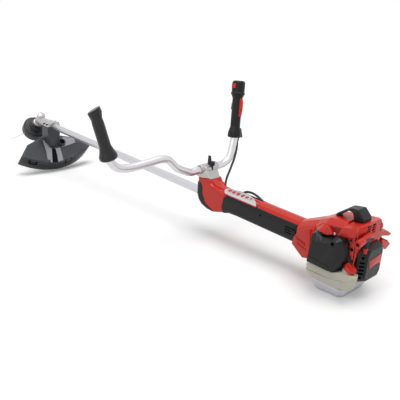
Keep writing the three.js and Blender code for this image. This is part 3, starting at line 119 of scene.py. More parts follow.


class Look:
    """A material's node tree, with short names for the nodes that the finishes share."""

    def __init__(self, name, colour, roughness, metallic=0.0, **sockets):
        self.material = bpy.data.materials.new(name)
        self.material.use_nodes = True
        self.tree = self.material.node_tree
        self.shader = self.tree.nodes["Principled BSDF"]
        self.shader.inputs["Base Color"].default_value = (*colour, 1)
        self.shader.inputs["Roughness"].default_value = roughness
        self.shader.inputs["Metallic"].default_value = metallic
        for socket, value in sockets.items():
            self.shader.inputs[socket.replace("_", " ")].default_value = value
        self.colour = colour
        self.place = self.add("ShaderNodeTexCoord").outputs["Object"]
        self.normal = None

    def add(self, kind, **values):
        node = self.tree.nodes.new(kind)
        for key, value in values.items():
            setattr(node, key, value)
        return node

    def link(self, start, end):
        self.tree.links.new(start, end)

    def noise(self, scale, detail, stretch=None):
        """Noise with so many waves to the metre."""
        texture = self.add("ShaderNodeTexNoise")
        texture.inputs["Scale"].default_value = scale
        texture.inputs["Detail"].default_value = detail
        place = self.place
        if stretch:
            mapping = self.add("ShaderNodeMapping")
            mapping.inputs["Scale"].default_value = stretch
            self.link(place, mapping.inputs["Vector"])
            place = mapping.outputs["Vector"]
        self.link(place, texture.inputs["Vector"])
        return texture.outputs["Fac"]

    def spread(self, value, low, high):
        """The value's middle range spread from low to high."""
        ramp = self.add("ShaderNodeMapRange")
        ramp.inputs["From Min"].default_value = 0.3
        ramp.inputs["From Max"].default_value = 0.7
        ramp.inputs["To Min"].default_value = low
        ramp.inputs["To Max"].default_value = high
        self.link(value, ramp.inputs["Value"])
        return ramp.outputs["Result"]

    def mottle(self, value, amount):
        """Varies the colour by a share, darker and lighter."""
        mix = self.add("ShaderNodeMix", data_type="RGBA")
        mix.inputs["A"].default_value = (*[c * (1 - amount) for c in self.colour], 1)
        mix.inputs["B"].default_value = (*[min(1, c * (1 + amount)) for c in self.colour], 1)
        self.link(value, mix.inputs["Factor"])
        self.link(mix.outputs["Result"], self.shader.inputs["Base Color"])

    def dull(self, value, low, high):
        """Varies the roughness from low to high."""
        self.link(self.spread(value, low, high), self.shader.inputs["Roughness"])

    def bump(self, value, depth, strength):
        """Relief of a height in metres, on top of what is there."""
        node = self.add("ShaderNodeBump")
        node.inputs["Strength"].default_value = strength
        node.inputs["Distance"].default_value = depth
        self.link(value, node.inputs["Height"])
        if self.normal:
            self.link(self.normal, node.inputs["Normal"])
        self.normal = node.outputs["Normal"]
        self.link(self.normal, self.shader.inputs["Normal"])

    def wear_and_highlight_edges(self, tint, share):
        """Lightens the mesh's own convex edges towards a tint: partly wear, partly painted highlight."""
        geometry = self.add("ShaderNodeNewGeometry")
        edge = self.add("ShaderNodeMapRange")
        edge.inputs["From Min"].default_value = EDGE_LIGHT_FROM
        edge.inputs["From Max"].default_value = EDGE_LIGHT_TO
        edge.inputs["To Max"].default_value = share
        self.link(geometry.outputs["Pointiness"], edge.inputs["Value"])
        mix = self.add("ShaderNodeMix", data_type="RGBA")
        source = self.shader.inputs["Base Color"]
        if source.is_linked:
            self.link(source.links[0].from_socket, mix.inputs["A"])
        else:
            mix.inputs["A"].default_value = source.default_value
        mix.inputs["B"].default_value = (*tint, 1)
        self.link(edge.outputs["Result"], mix.inputs["Factor"])
        self.link(mix.outputs["Result"], source)


def srgb(red, green, blue):
    """A colour as it shows on a screen, turned into the renderer's linear numbers."""
    shares = [value / 255 for value in (red, green, blue)]
    return tuple(c / 12.92 if c <= 0.04045 else ((c + 0.055) / 1.055) ** 2.4 for c in shares)


def moulded(name, colour, roughness, grain, depth, edge, shine):
    """Moulded plastic: fine grain, faint flow marks, and edges lightened as wear and painted highlight."""
    look = Look(name, srgb(*colour), roughness, Specular_IOR_Level=shine)
    look.mottle(look.noise(25, 4), 0.05)
    look.dull(look.noise(90, 3), roughness * 0.9, roughness * 1.12)
    look.bump(look.noise(grain, 2), depth, 0.5)
    look.bump(look.noise(60, 1), 0.00025, 0.12)
    # Convex edges lightened: wear and painted highlight.
    look.wear_and_highlight_edges(srgb(*edge), 0.35)
    return look.material


def brushed(name, colour, roughness, stretch):
    """Drawn or brushed metal: fine lines along one way."""
    look = Look(name, srgb(*colour), roughness, metallic=0.9)
    lines = look.noise(900, 2, stretch)
    look.mottle(lines, 0.015)
    look.dull(look.noise(300, 2, stretch), roughness * 0.92, roughness * 1.1)
    look.bump(lines, 0.000004, 0.15)
    return look.material


def cast(name, colour, roughness):
    """Die-cast metal: soft pits and a slightly patchy skin."""
    look = Look(name, srgb(*colour), roughness, metallic=0.75)
    look.mottle(look.noise(70, 4), 0.07)
    look.dull(look.noise(140, 3), roughness * 0.85, roughness * 1.2)
    look.bump(look.noise(700, 4), 0.00018, 0.45)
    # Convex edges lightened: wear and painted highlight.
    look.wear_and_highlight_edges([min(1, c * 1.25) for c in look.colour], 0.4)
    return look.material


def tank_plastic(name, colour, roughness):
    """Milky plastic, into which light passes a little way."""
    look = Look(
        name,
        srgb(*colour),
        roughness,
        Subsurface_Weight=0.35,
        Subsurface_Scale=0.008,
        Coat_Weight=0.15,
    )
    look.mottle(look.noise(18, 3), 0.06)
    look.bump(look.noise(800, 2), 0.00006, 0.4)
    # Convex edges lightened: wear and painted highlight.
    look.wear_and_highlight_edges(srgb(215, 213, 200), 0.3)
    return look.material


# Moulded finishes: the material's name, colour, roughness, grain in waves to the metre, the grain's
# depth in metres, the colour towards which edges are lightened as wear and painted highlight, and the shine.
PLASTICS = {
    "red": ("red_plastic", (200, 36, 22), 0.33, 1500, 0.00004, (222, 78, 58), 0.4),
    "black": ("black_plastic", (25, 25, 27), 0.36, 1100, 0.00006, (66, 66, 69), 0.25),
    "guard": ("guard_plastic", (46, 48, 52), 0.4, 900, 0.00008, (96, 98, 104), 0.3),
    # Pale copy of the guard plastic: painted highlight on the guard's raised strips.
    "guard_highlight": ("guard_painted_highlight", (150, 152, 158), 0.3, 900, 0.00005, (165, 166, 172), 0.5),
    "rubber": ("grip_rubber", (21, 21, 23), 0.32, 700, 0.00008, (58, 58, 60), 0.4),
    "cable": ("cable_sheath", (34, 34, 35), 0.42, 1200, 0.00004, (70, 70, 70), 0.5),
    # Near-black: small dark parts, and painted shade drawn as dark sheets, rods and discs in holes, vents,
    # gaps and the guard's channel.
    "dark": ("black_and_painted_shade", (9, 9, 10), 0.8, 700, 0.0001, (16, 16, 16), 0.1),
    # Darker copy of the red plastic: painted shade on the recess's floor.
    "shaded_red": ("red_painted_shade", (128, 20, 14), 0.5, 1500, 0.00004, (160, 40, 30), 0.3),
    "foot": ("foot_plastic", (214, 214, 219), 0.42, 900, 0.00006, (235, 235, 238), 0.5),
    "pale": ("pale_trim", (222, 222, 224), 0.3, 900, 0.00004, (240, 240, 240), 0.5),
    "line": ("line_nylon", (232, 242, 228), 0.35, 500, 0.00004, (240, 245, 238), 0.5),
    "foam": ("filter_foam", (60, 60, 58), 0.95, 350, 0.0008, (80, 80, 78), 0.5),
}
# Drawn metals: the material's name, colour, roughness and the stretch of the lines along x, y and z.
METALS = {
    "tube": ("tube_aluminium", (206, 205, 209), 0.3, (0.02, 1, 1)),
    "bar": ("bar_aluminium", (214, 213, 216), 0.33, (1, 0.05, 1)),
    "trim": ("trim_metal", (205, 205, 207), 0.3, (0.05, 1, 1)),
    "steel": ("machined_steel", (150, 150, 152), 0.32, (1, 1, 0.1)),
    "chrome": ("bright_steel", (200, 200, 203), 0.16, (1, 1, 0.2)),
}
LOOKS = {
    **{look: moulded(*values) for look, values in PLASTICS.items()},
    **{look: brushed(*values) for look, values in METALS.items()},
    "cast": cast("cast_alloy", (186, 184, 183), 0.36),
    "tank": tank_plastic("tank_plastic", (190, 188, 172), 0.4),
}

# The looks of the CAD nodes.
NODE_LOOKS = {
    "red": "housing_left housing_right clutch_housing fan_housing engine_cover muffler_guard fuel_cap "
    "starter_grip throttle_trigger throttle_lockout stop_switch",
    "black": "side_cover_left side_cover_right front_cover throttle_grip clamp_knob starter_cover "
    "starter_pulley top_handle air_filter_cover",
    "guard": "guard_shield guard_skirt spool_case line_spool",
    "rubber": "left_grip shaft_bush rubber_mount drive_collar",
    "cable": "throttle_cable starter_rope",
    "tube": "drive_tube",
    "bar": "handlebar",
    "trim": "trim_strip",
    "cast": "gear_case gear_cap guard_clamp clamp_base clamp_cap crankcase cylinder piston "
    "carburettor flywheel",
    "steel": "output_bearing output_shaft bevel_pinion pinion_bearing drive_shaft clutch_drum "
    "clutch_rotor crankshaft_front crankshaft_rear connecting_rod spark_plug air_cover_screw muffler",
    "tank": "fuel_tank",
    "foot": "tank_foot",
    "foam": "air_filter",
    "line": "trimmer_line",
}


# ---------------------------------------------------------------- shading and edges
def smooth_group(degrees):
    """A node group that shades faces smooth and keeps edges over an angle sharp."""
    name = f"smooth_{degrees}"
    if name in bpy.data.node_groups:
        return bpy.data.node_groups[name]
    group = bpy.data.node_groups.new(name, "GeometryNodeTree")
    for way in ("INPUT", "OUTPUT"):
        group.interface.new_socket("Geometry", in_out=way, socket_type="NodeSocketGeometry")
    add, link = group.nodes.new, group.links.new
    start, end = add("NodeGroupInput"), add("NodeGroupOutput")
    faces, edges = add("GeometryNodeSetShadeSmooth"), add("GeometryNodeSetShadeSmooth")
    faces.domain, edges.domain = "FACE", "EDGE"
    edges.inputs["Shade Smooth"].default_value = False
    angle, sharp = add("GeometryNodeInputMeshEdgeAngle"), add("FunctionNodeCompare")
    sharp.operation = "GREATER_THAN"
    sharp.inputs[1].default_value = math.radians(degrees)
    link(start.outputs[0], faces.inputs["Geometry"])
    link(faces.outputs[0], edges.inputs["Geometry"])
    link(angle.outputs["Unsigned Angle"], sharp.inputs[0])
    link(sharp.outputs[0], edges.inputs["Selection"])
    link(edges.outputs[0], end.inputs[0])
    return group


# Degrees: from which edges stay sharp or are rounded, and within which faces count as one flat face.
SHARP_FROM = 40
NODE_BEVEL_FROM = 32
SHAPE_BEVEL_FROM = 30
FLAT_WITHIN = 1.0
WELD_WITHIN = 0.00001  # metres


def shade(piece, degrees):
    """Shades a piece smooth, apart from its edges over an angle."""
    shading = piece.modifiers.new("shading", "NODES")
    shading.node_group = smooth_group(degrees)


def round_edges(piece, width):
    """Welds a CAD node, drops the lines across its flat faces, rounds its edges and shades it."""
    weld = piece.modifiers.new("weld", "WELD")
    weld.merge_threshold = WELD_WITHIN
    merge = piece.modifiers.new("flat_faces", "DECIMATE")
    merge.decimate_type = "DISSOLVE"
    merge.angle_limit = math.radians(FLAT_WITHIN)
    if width:
        bevel = piece.modifiers.new("round_edges", "BEVEL")
        bevel.width = width * MM
        bevel.segments = 2
        bevel.limit_method = "ANGLE"
        bevel.angle_limit = math.radians(NODE_BEVEL_FROM)
    shade(piece, SHARP_FROM)


# Edge rounding of the CAD nodes that stay visible, in millimetres.
EDGE_ROUNDS = {
    "drive_tube": 0.4,
    "gear_case": 1.0,
    "guard_skirt": 0.8,
    "muffler_guard": 1.6,
    "trimmer_line": 0,
}
USUAL_ROUND = 0.7


def dress_nodes():
    """Gives every CAD node its material and its rounded edges."""
    for look, names in NODE_LOOKS.items():
        for name in names.split():
            piece = nodes[name]
            piece.data.materials.clear()
            piece.data.materials.append(LOOKS[look])
            round_edges(piece, EDGE_ROUNDS.get(name, USUAL_ROUND))


# ---------------------------------------------------------------- mesh tools
def circle(centre, axis, radius, sides):
    """Points round an axis, in order."""
    axis = Vector(axis).normalized()
    across = axis.orthogonal().normalized()
    turns = [Quaternion(axis, 2 * math.pi * i / sides) for i in range(sides)]
    return [Vector(centre) + turn @ across * radius for turn in turns]


def smooth_line(points, steps):
    """A smooth line through the points, with so many steps between each two."""
    line = [Vector(point) for point in points]
    ends = [line[0] * 2 - line[1], *line, line[-1] * 2 - line[-2]]
    made = []
    for a, b, c, d in zip(ends, ends[1:], ends[2:], ends[3:]):
        for step in range(steps):
            t = step / steps
            bend = (2 * a - 5 * b + 4 * c - d) * t * t + (3 * b - a - 3 * c + d) * t**3
            made.append(b + ((c - a) * t + bend) / 2)
    return [*made, line[-1]]


KEPT_SHARE = 0.35  # of a softened shape's faces
SAME_POINT = 0.005  # millimetres


class Shape:
    """Closed solids drawn in one frame, in millimetres."""

    def __init__(self, frame=MACHINE):
        self.frame = frame
        self.mesh = bmesh.new()

    def hull(self, *points):
        """The solid that the points span."""
        corners = [self.mesh.verts.new(point) for point in points]
        made = bmesh.ops.convex_hull(self.mesh, input=corners)
        inside = made["geom_interior"] + made["geom_unused"]
        spare = {corner for corner in inside if isinstance(corner, bmesh.types.BMVert)}
        bmesh.ops.delete(self.mesh, geom=list(spare), context="VERTS")
        return self

    def box(self, low, high):
        """The block between two corners."""
        spans = list(zip(low, high))
        return self.hull(*[(x, y, z) for x in spans[0] for y in spans[1] for z in spans[2]])

    def skin(self, rings):
        """A solid through rings of points, closed at both ends."""
        made = [[self.mesh.verts.new(point) for point in ring] for ring in rings]
        for low, high in zip(made, made[1:]):
            for i, corner in enumerate(low):
                j = (i + 1) % len(low)
                self.mesh.faces.new((corner, low[j], high[j], high[i]))
        self.mesh.faces.new(made[0][::-1])
        self.mesh.faces.new(made[-1])
        return self

    def turned(self, origin, axis, profile, sides=32):
        """A solid of revolution; the profile is (distance along the axis, radius) from end to end."""
        along = Vector(axis).normalized()
        return self.skin([circle(Vector(origin) + along * d, along, r, sides) for d, r in profile])

    def rod(self, start, end, radius):
        """A straight round bar."""
        way = Vector(end) - Vector(start)
        return self.turned(start, way, [(0, radius), (way.length, radius)], 28)

    def plate(self, outline, axis, low, high):
        """An outline in the plane across an axis, made solid from low to high along it."""
        place = "xyz".index(axis)

        def ring(height):
            return [(*point[:place], height, *point[place:]) for point in outline]

        return self.skin([ring(low), ring(high)])

    def sweep(self, points, radius, sides=16, steps=6):
        """A round bar along a smooth line; the radius may be a list, one for each point."""
        line = smooth_line(points, steps)
        radii = radius if isinstance(radius, (list, tuple)) else [radius] * len(points)
        rings = []
        across = None
        for i, place in enumerate(line):
            way = (line[min(i + 1, len(line) - 1)] - line[max(i - 1, 0)]).normalized()
            across = across - way * across.dot(way) if across else way.orthogonal()
            across.normalize()
            share = i / steps
            low = min(int(share), len(radii) - 1)
            high = min(low + 1, len(radii) - 1)
            thick = radii[low] + (radii[high] - radii[low]) * (share - low)
            turns = [Quaternion(way, 2 * math.pi * k / sides) for k in range(sides)]
            rings.append([place + turn @ across * thick for turn in turns])
        return self.skin(rings)

    def copy_of(self, *names):
        """Adds the solids of CAD nodes."""
        back = self.frame.inverted()
        for name in names:
            mesh = nodes[name].data.copy()
            mesh.transform(back @ nodes[name].matrix_world)
            self.mesh.from_mesh(mesh)
            bpy.data.meshes.remove(mesh)
        bmesh.ops.remove_doubles(self.mesh, verts=self.mesh.verts, dist=SAME_POINT)
        return self

    def data(self, name="solid"):
        """The solids as mesh data, with their faces turned outwards."""
        bmesh.ops.recalc_face_normals(self.mesh, faces=self.mesh.faces)
        mesh = bpy.data.meshes.new(name)
        self.mesh.to_mesh(mesh)
        return mesh

    def changed(self, *steps):
        """Runs modifiers on the solids: each step is (kind, values)."""
        work = bpy.data.objects.new("work", self.data())
        bpy.context.scene.collection.objects.link(work)
        for kind, values in steps:
            modifier = work.modifiers.new(kind, kind)
            for key, value in values.items():
                setattr(modifier, key, value)
        changed = work.evaluated_get(bpy.context.evaluated_depsgraph_get())
        result = bpy.data.meshes.new_from_object(changed)
        self.mesh.clear()
        self.mesh.from_mesh(result)
        bpy.data.objects.remove(work)
        return self

    def cut(self, other):
        """Takes another shape away."""
        solid = other.data()
        solid.transform(self.frame.inverted() @ other.frame)
        cutter = bpy.data.objects.new("cutter", solid)
        bpy.context.scene.collection.objects.link(cutter)
        settings = {"operation": "DIFFERENCE", "solver": "EXACT", "object": cutter, "use_self": True}
        self.changed(("BOOLEAN", settings))
        bpy.data.objects.remove(cutter)
        return self

    def soften(self, voxel, passes):
        """Merges the solids and rounds every edge, as a moulding has them."""
        return self.changed(
            ("REMESH", {"mode": "VOXEL", "voxel_size": voxel}),
            ("SMOOTH", {"factor": 0.5, "iterations": passes}),
            ("DECIMATE", {"ratio": KEPT_SHARE}),
        )

    def bevelled(self, width):
        """Rounds the edges to a width."""
        limit = {"limit_method": "ANGLE", "angle_limit": math.radians(SHAPE_BEVEL_FROM)}
        return self.changed(("BEVEL", {"width": width, "segments": 2, **limit}))

    def piece(self, name, look, body="machine", edge=0.0, sharp=SHARP_FROM, instead=(), bend=None):
        """Places the shape as a piece of the object, standing for CAD nodes; it rides on a body, or, when a
        bend is given, stays unparented in place.
        """
        if edge:
            self.bevelled(edge)
        mesh = self.data(name)
        mesh.transform(self.frame)
        made = bpy.data.objects.new(name, mesh)
        bpy.context.scene.collection.objects.link(made)
        mesh.materials.append(LOOKS[look])
        shade(made, sharp)
        if bend:
            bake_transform(made)
        else:
            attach(made, body)
        if instead:
            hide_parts(*instead)
        self.mesh.free()
        return made


# ---------------------------------------------------------------- moulded forms
# Outer mouldings that are the CAD solids with their edges rounded: voxel size in millimetres and
# passes of smoothing.
MOULDED = {
    "tank_foot": ("foot", "machine", 1.3, 10),
    "side_cover_left": ("black", "machine", 0.9, 4),
    "side_cover_right": ("black", "machine", 0.9, 4),
    "front_cover": ("black", "machine", 0.9, 5),
    "top_handle": ("black", "machine", 1.1, 28),
    "clamp_base": ("cast", "machine", 1.0, 6),
    "clamp_cap": ("cast", "machine", 0.9, 5),
    "left_grip": ("rubber", "handlebar", 0.9, 8),
    "throttle_grip": ("black", "handlebar", 0.8, 6),
}


def mouldings():
    """The softened form of each of these CAD nodes, in its place."""
    for name, (look, body, voxel, passes) in MOULDED.items():
        Shape().copy_of(name).soften(voxel, passes).piece(f"{name}_form", look, body, instead=[name])


# ---------------------------------------------------------------- engine
# The filter lid, seen from the side: (x, z) round its back, and the matching points of its front
# face. The steps say how far the outline has come from back to face at each y.
LID_RIM = [
    (-131, -17), (-131, 18), (-132, 48), (-131, 64), (-117, 72), (-109, 68), (-96, 64), (-82, 68),
    (-69, 70), (-63, 77), (-54, 81), (-47, 80), (-38, 76), (-32, 64), (-29, 46), (-28, 20),
    (-34, 2), (-48, -13), (-72, -18),
]
LID_FACE = [
    (-124, -11), (-122, 10), (-119, 40), (-117, 50), (-109, 53), (-101, 51), (-92, 52), (-84, 55),
    (-72, 60), (-64, 63), (-58, 68), (-51, 72), (-46, 70), (-43.5, 62), (-43, 50), (-44, 30),
    (-47, 8), (-51, -8), (-62, -12),
]
LID_STEPS = [(0, -58), (0.05, -73), (0.2, -85), (0.94, -98.8), (1, -100)]
# The lid's screw: its (x, z), and (start, end, radius) along y of its hole, head and shank.
LID_SCREW = (-57, 63)
LID_HOLE, SCREW_HEAD, SCREW_SHANK = (-108, -88, 5), (-88, -93, 3.8), (-87, -66, 2.5)
LID_SKIRT = [(-44, 34), (-24, 34), (-17, 15), (-21, 3), (-34, -2), (-44, 4)]
LID_SKIRT_Y, LID_GROOVE_Y = (-67, -58), (-103, -99.3)
LID_GROOVE = [(-135, 8), (-90, 5), (-56, 0), (-56, -1.6), (-90, 3.4), (-135, 6.4)]


def ring_at(outline, y):
    """An (x, z) outline at one y."""
    return [(x, y, z) for x, z in outline]


def part_way(start, end, share):
    """The outline that lies a share of the way from one to another."""
    return [(a + (c - a) * share, b + (d - b) * share) for (a, b), (c, d) in zip(start, end)]


def filter_lid():
    """The black lid: a rim that steps in to a smaller face, with a screw and a moulded groove."""
    lid = Shape().skin([ring_at(part_way(LID_RIM, LID_FACE, share), y) for share, y in LID_STEPS])
    lid.plate(LID_SKIRT, "y", *LID_SKIRT_Y)
    lid.soften(0.9, 5)
    x, z = LID_SCREW
    hole, screw = Shape(), Shape()
    for shape, (start, end, radius) in ((hole, LID_HOLE), (screw, SCREW_HEAD), (screw, SCREW_SHANK)):
        shape.rod((x, start, z), (x, end, z), radius)
    lid.cut(hole)
    lid.cut(Shape().plate(LID_GROOVE, "y", *LID_GROOVE_Y))
    lid.piece("filter_lid", "black", instead=["air_filter_cover"])
    # The screw is drawn near-black: painted shade of the hole it sits in.
    screw.piece("lid_screw", "dark", edge=0.5, instead=["air_cover_screw"])


# Red mouldings above the lid: a wedge and the recess beside it as (x, z) outlines and their places
# along y, and the front of a raised box and two raised lines as (x, y, z).
WEDGE = [(-106, 68), (-88, 69), (-73, 77), (-92, 95), (-99, 78)]
WEDGE_MIDDLE = (-91, 76)
WEDGE_BACK, WEDGE_FRONT, WEDGE_TIP, TIP_SHARE = -60, -77, -79, 0.1
RECESS = [(-88, 92), (-50, 99), (-64, 75), (-79, 75)]
# The recess's floor is a thin plate of darker red, just below the recess outline: painted shade.
RECESS_CUT, RECESS_SHADE_Y, RECESS_SHADE_DROP = (-95, -64), (-69, -63), 0.5
BOX_BACK = -58
BOX = [
    (-63, -76, 75), (-50, -77, 105), (-17, -69, 109), (-14, -69, 88), (-37, -70, 79), (-49, -73, 80),
]
SIDE_SEAM = [
    (-128, -70, 72), (-123, -70, 80), (-108, -70, 92), (-84, -70, 96), (-48, -69, 102), (-20, -66, 107),
]
BAND_EDGE = [(-22, -66, 110), (-13, -66, 92), (-12, -66, 50), (-12, -66, 14)]
# Radii of the two raised lines and of a near-black rod beside the band's edge, and that rod's shift: the rod
# is painted shade in the gap.
SEAM_RADIUS, BAND_RADIUS, GAP_SHADE_RADIUS = 1.3, 1.5, 0.9
GAP_SHADE_SHIFT = (-2.8, 0.3)
PLUG = (-74, -62, 76)
PLUG_DOME = [(0, 5), (5, 4.7), (8, 3.6), (9.5, 1.4)]
# The two fins on the far side as (y, z) outlines, and where they begin and end along x.
FIN_X = (-36, -14)
FINS = [
    [(52, 67), (79, 65), (111, 49), (99, 45), (52, 58)],
    [(64, 42), (79, 42), (99, 30), (115, 17), (93, 6), (72, 24)],
]


def engine_shrouds():
    """The red covers over the engine and the small mouldings on them."""
    cover = Shape().copy_of("engine_cover").soften(1.2, 12)
    cover.cut(Shape().plate(RECESS, "y", *RECESS_CUT))
    cover.piece("engine_shroud", "red", instead=["engine_cover"])
    tip = part_way(WEDGE, [WEDGE_MIDDLE] * len(WEDGE), TIP_SHARE)
    rings = [ring_at(WEDGE, WEDGE_BACK), ring_at(WEDGE, WEDGE_FRONT), ring_at(tip, WEDGE_TIP)]
    Shape().skin(rings).piece("vee_wedge", "red", edge=0.7)
    Shape().hull(*BOX, *[(x, BOX_BACK, z) for x, _, z in BOX]).piece("side_box", "red", edge=0.9)
    Shape().turned(PLUG, -ACROSS, PLUG_DOME, 20).piece("plug_dome", "pale")
    Shape().sweep(SIDE_SEAM, SEAM_RADIUS, 10).piece("side_seam", "red")
    # A darker red plate at the recess's floor: painted shade.
    floor = Shape().plate([(x, z - RECESS_SHADE_DROP) for x, z in RECESS], "y", *RECESS_SHADE_Y)
    floor.piece("recess_painted_shade", "shaded_red")
    Shape().sweep(BAND_EDGE, BAND_RADIUS, 10).piece("band_edge", "red")
    # A near-black rod beside the band's edge: painted shade in the gap.
    beside = [(x + GAP_SHADE_SHIFT[0], y + GAP_SHADE_SHIFT[1], z) for x, y, z in BAND_EDGE[1:]]
    gap_shade = Shape().sweep(beside, GAP_SHADE_RADIUS, 8)
    gap_shade.piece("band_gap_shade", "dark")
    fins = Shape()
    for outline in FINS:
        fins.plate(outline, "x", *FIN_X)
    fins.soften(0.8, 16).piece("side_fins", "red")
    fan = Shape().copy_of("fan_housing").soften(1.0, 6)
    fan.piece("fan_shroud", "red", instead=["fan_housing"])


# The clutch housing's near flank: its rim, and its vents with the (x, z) of the first, the steps to
# the next row and column, and the slot itself. The middle row is left out.
BELL_ARC = [
    (-214, -41, -14), (-213, -42, -4), (-209, -43, 8), (-203, -44, 19), (-195, -45, 29), (-184, -47, 38),
    (-171, -48, 46), (-156, -49, 53), (-150, -51, 20), (-150, -51, -30), (-170, -48, -37),
]
FLANK_OUT, FLANK_BACK, BACK_SHARE = 5, -20, 0.9
VENT_ROWS, VENT_COLUMNS = (0, 1, 2, 4, 5), (0, 1, 2, 3)
FIRST_VENT, NEXT_ROW, NEXT_COLUMN = (-202, 16), (1.9, -3.9), (9.4, -1.6)
VENT = [(0, 0), (7.6, -1.3), (7.6, -3.1), (0, -1.8)]
VENT_CUT = (-70, -44.5)


def bell():
    """The clutch housing and its vented near flank."""
    housing = Shape().copy_of("clutch_housing").soften(1.3, 12)
    flank = Shape().hull(
        *[(x, y - FLANK_OUT, z) for x, y, z in BELL_ARC],
        *[(x, FLANK_BACK, z * BACK_SHARE) for x, _, z in BELL_ARC],
    )
    flank.soften(0.9, 6)
    vents = Shape()
    for row in VENT_ROWS:
        for column in VENT_COLUMNS:
            x = FIRST_VENT[0] + NEXT_COLUMN[0] * column + NEXT_ROW[0] * row
            z = FIRST_VENT[1] + NEXT_ROW[1] * row + NEXT_COLUMN[1] * column
            vents.plate([(x + dx, z + dz) for dx, dz in VENT], "y", *VENT_CUT)
    flank.cut(vents)
    housing.piece("bell", "red", instead=["clutch_housing"])
    flank.piece("bell_flank", "red")


# The starter cover's near corner is filled to a face that carries slots and screw holes at these
# heights; its rear face carries a plain badge, as (y, z).
CORNER_FILL = [(-11, -46), (5.5, -34.5), (-8, -32), (2, -27)]
CORNER_HEIGHTS = (-28, 30)
CORNER_FACE = turned(MACHINE, (-2, -41, 0), "Z", math.degrees(math.atan2(14, 20)))
SLOT_END = [(-5, -2.9), (-7, -1.4), (-7, 1.4), (-5, 2.9)]
COVER_SLOTS = (15, 5, -5, -15)
COVER_HOLES = (29, -27)
HOLE_RADIUS = 4
CORNER_CUT = 9
# A near-black block behind the corner's slots and holes: painted shade seen through them.
COVER_SHADE = (-9, 7.6, -33), (9, 8.6, 34)
BADGE = [(-28, 20), (31, 26), (31, -3), (22, 1), (5, 2), (-8, 0), (-20, -4)]
BADGE_X = (5, 9.4)


def starter():
    """The starter cover with a solid near corner, its slots and screw holes with painted shade behind them,
    and the badge.
    """
    cover = Shape().copy_of("starter_cover")
    cover.hull(*[(x, y, z) for x, y in CORNER_FILL for z in CORNER_HEIGHTS])
    cover.soften(1.0, 6)
    cuts = Shape(CORNER_FACE)
    slot = SLOT_END + [(-x, z) for x, z in SLOT_END[::-1]]
    for middle in COVER_SLOTS:
        cuts.plate([(x, z + middle) for x, z in slot], "y", -CORNER_CUT, CORNER_CUT)
    for z in COVER_HOLES:
        cuts.rod((0, -CORNER_CUT, z), (0, CORNER_CUT, z), HOLE_RADIUS)
    cover.cut(cuts)
    cover.piece("recoil_cover", "black", instead=["starter_cover"])
    # Painted shade behind the slots and screw holes.
    Shape(CORNER_FACE).box(*COVER_SHADE).piece("cover_painted_shade", "dark")
    badge = Shape().skin([[(x, y, z) for y, z in BADGE] for x in BADGE_X])
    badge.piece("plain_badge", "red", edge=0.8)


# The starter rope's (x, y), the heights of its ends at rest, and a share along it that sets a second point
# passed with its bend.
ROPE = (-2.5, -37)
ROPE_FOOT, ROPE_HEAD = 34, 70
ROPE_RADIUS, ROPE_STEPS = 1.7, 12
ROPE_STRETCH = 0.2


def pull_rope():
    """The starter rope, a straight line from the cover up to the hand grip."""
    foot, head = Vector((*ROPE, ROPE_FOOT)), Vector((*ROPE, ROPE_HEAD))
    line = [foot.lerp(head, step / ROPE_STEPS) for step in range(ROPE_STEPS + 1)]
    rope = Shape().sweep(line, ROPE_RADIUS, 12, 4)
    bend = ("pull_grip", MACHINE @ foot, MACHINE @ foot.lerp(head, ROPE_STRETCH))
    rope.piece("pull_rope", "cable", instead=["starter_rope"], bend=bend)


# Sections of the starter grip's pieces: (y, half width, bottom, top).
GRIP_LEFT = [(-79, 6.6, 65.5, 87.5), (-77, 7.6, 65, 88.5), (-64, 7.4, 68, 89.4), (-52, 7, 70.5, 90)]
GRIP_MIDDLE = [(-52.5, 6.6, 70.5, 89.4), (-37, 6.8, 71.5, 90.5), (-24, 6.2, 76, 90.6)]
GRIP_TOP = [
    (-53, 5.5, 82, 91), (-37, 6.6, 83, 92), (-24.5, 6.6, 77.5, 92), (-12, 6, 79, 91), (-10, 4.5, 80.5, 89.5),
]
GRIP_ROUNDNESS = 0.8
# The socket in the grip's left end: its height, and (start, end, radius) along y of hole and floor; the
# floor is a near-black disc of painted shade.
SOCKET_HEIGHT = 76.6
SOCKET_HOLE, SOCKET_SHADE = (-88, -72, 5), (-73, -72, 5.2)
# The turned pieces under the grip: how high each begins, and its profile.
NECK_FOOT, SLEEVE_FOOT = 54, 42
GRIP_NECK = [(0, 5.4), (7, 5.2), (14, 6.4), (20, 7)]
GRIP_SLEEVE = [(0, 5.8), (9, 5.8), (11, 6.4), (13, 6)]


def grip_ring(y, half, bottom, top):
    """A rounded section across the starter grip."""
    middle, tall = (bottom + top) / 2, (top - bottom) / 2
    ring = []
    for step in range(16):
        across, up = [
            math.copysign(abs(part) ** GRIP_ROUNDNESS, part)
            for part in (math.cos(math.pi * step / 8), math.sin(math.pi * step / 8))
        ]
        ring.append((ROPE[0] + half * across, y, middle + tall * up))
    return ring


def grip_bar(sections):
    """A soft bar through the sections."""
    return Shape().skin([grip_ring(*section) for section in sections]).soften(0.8, 4)


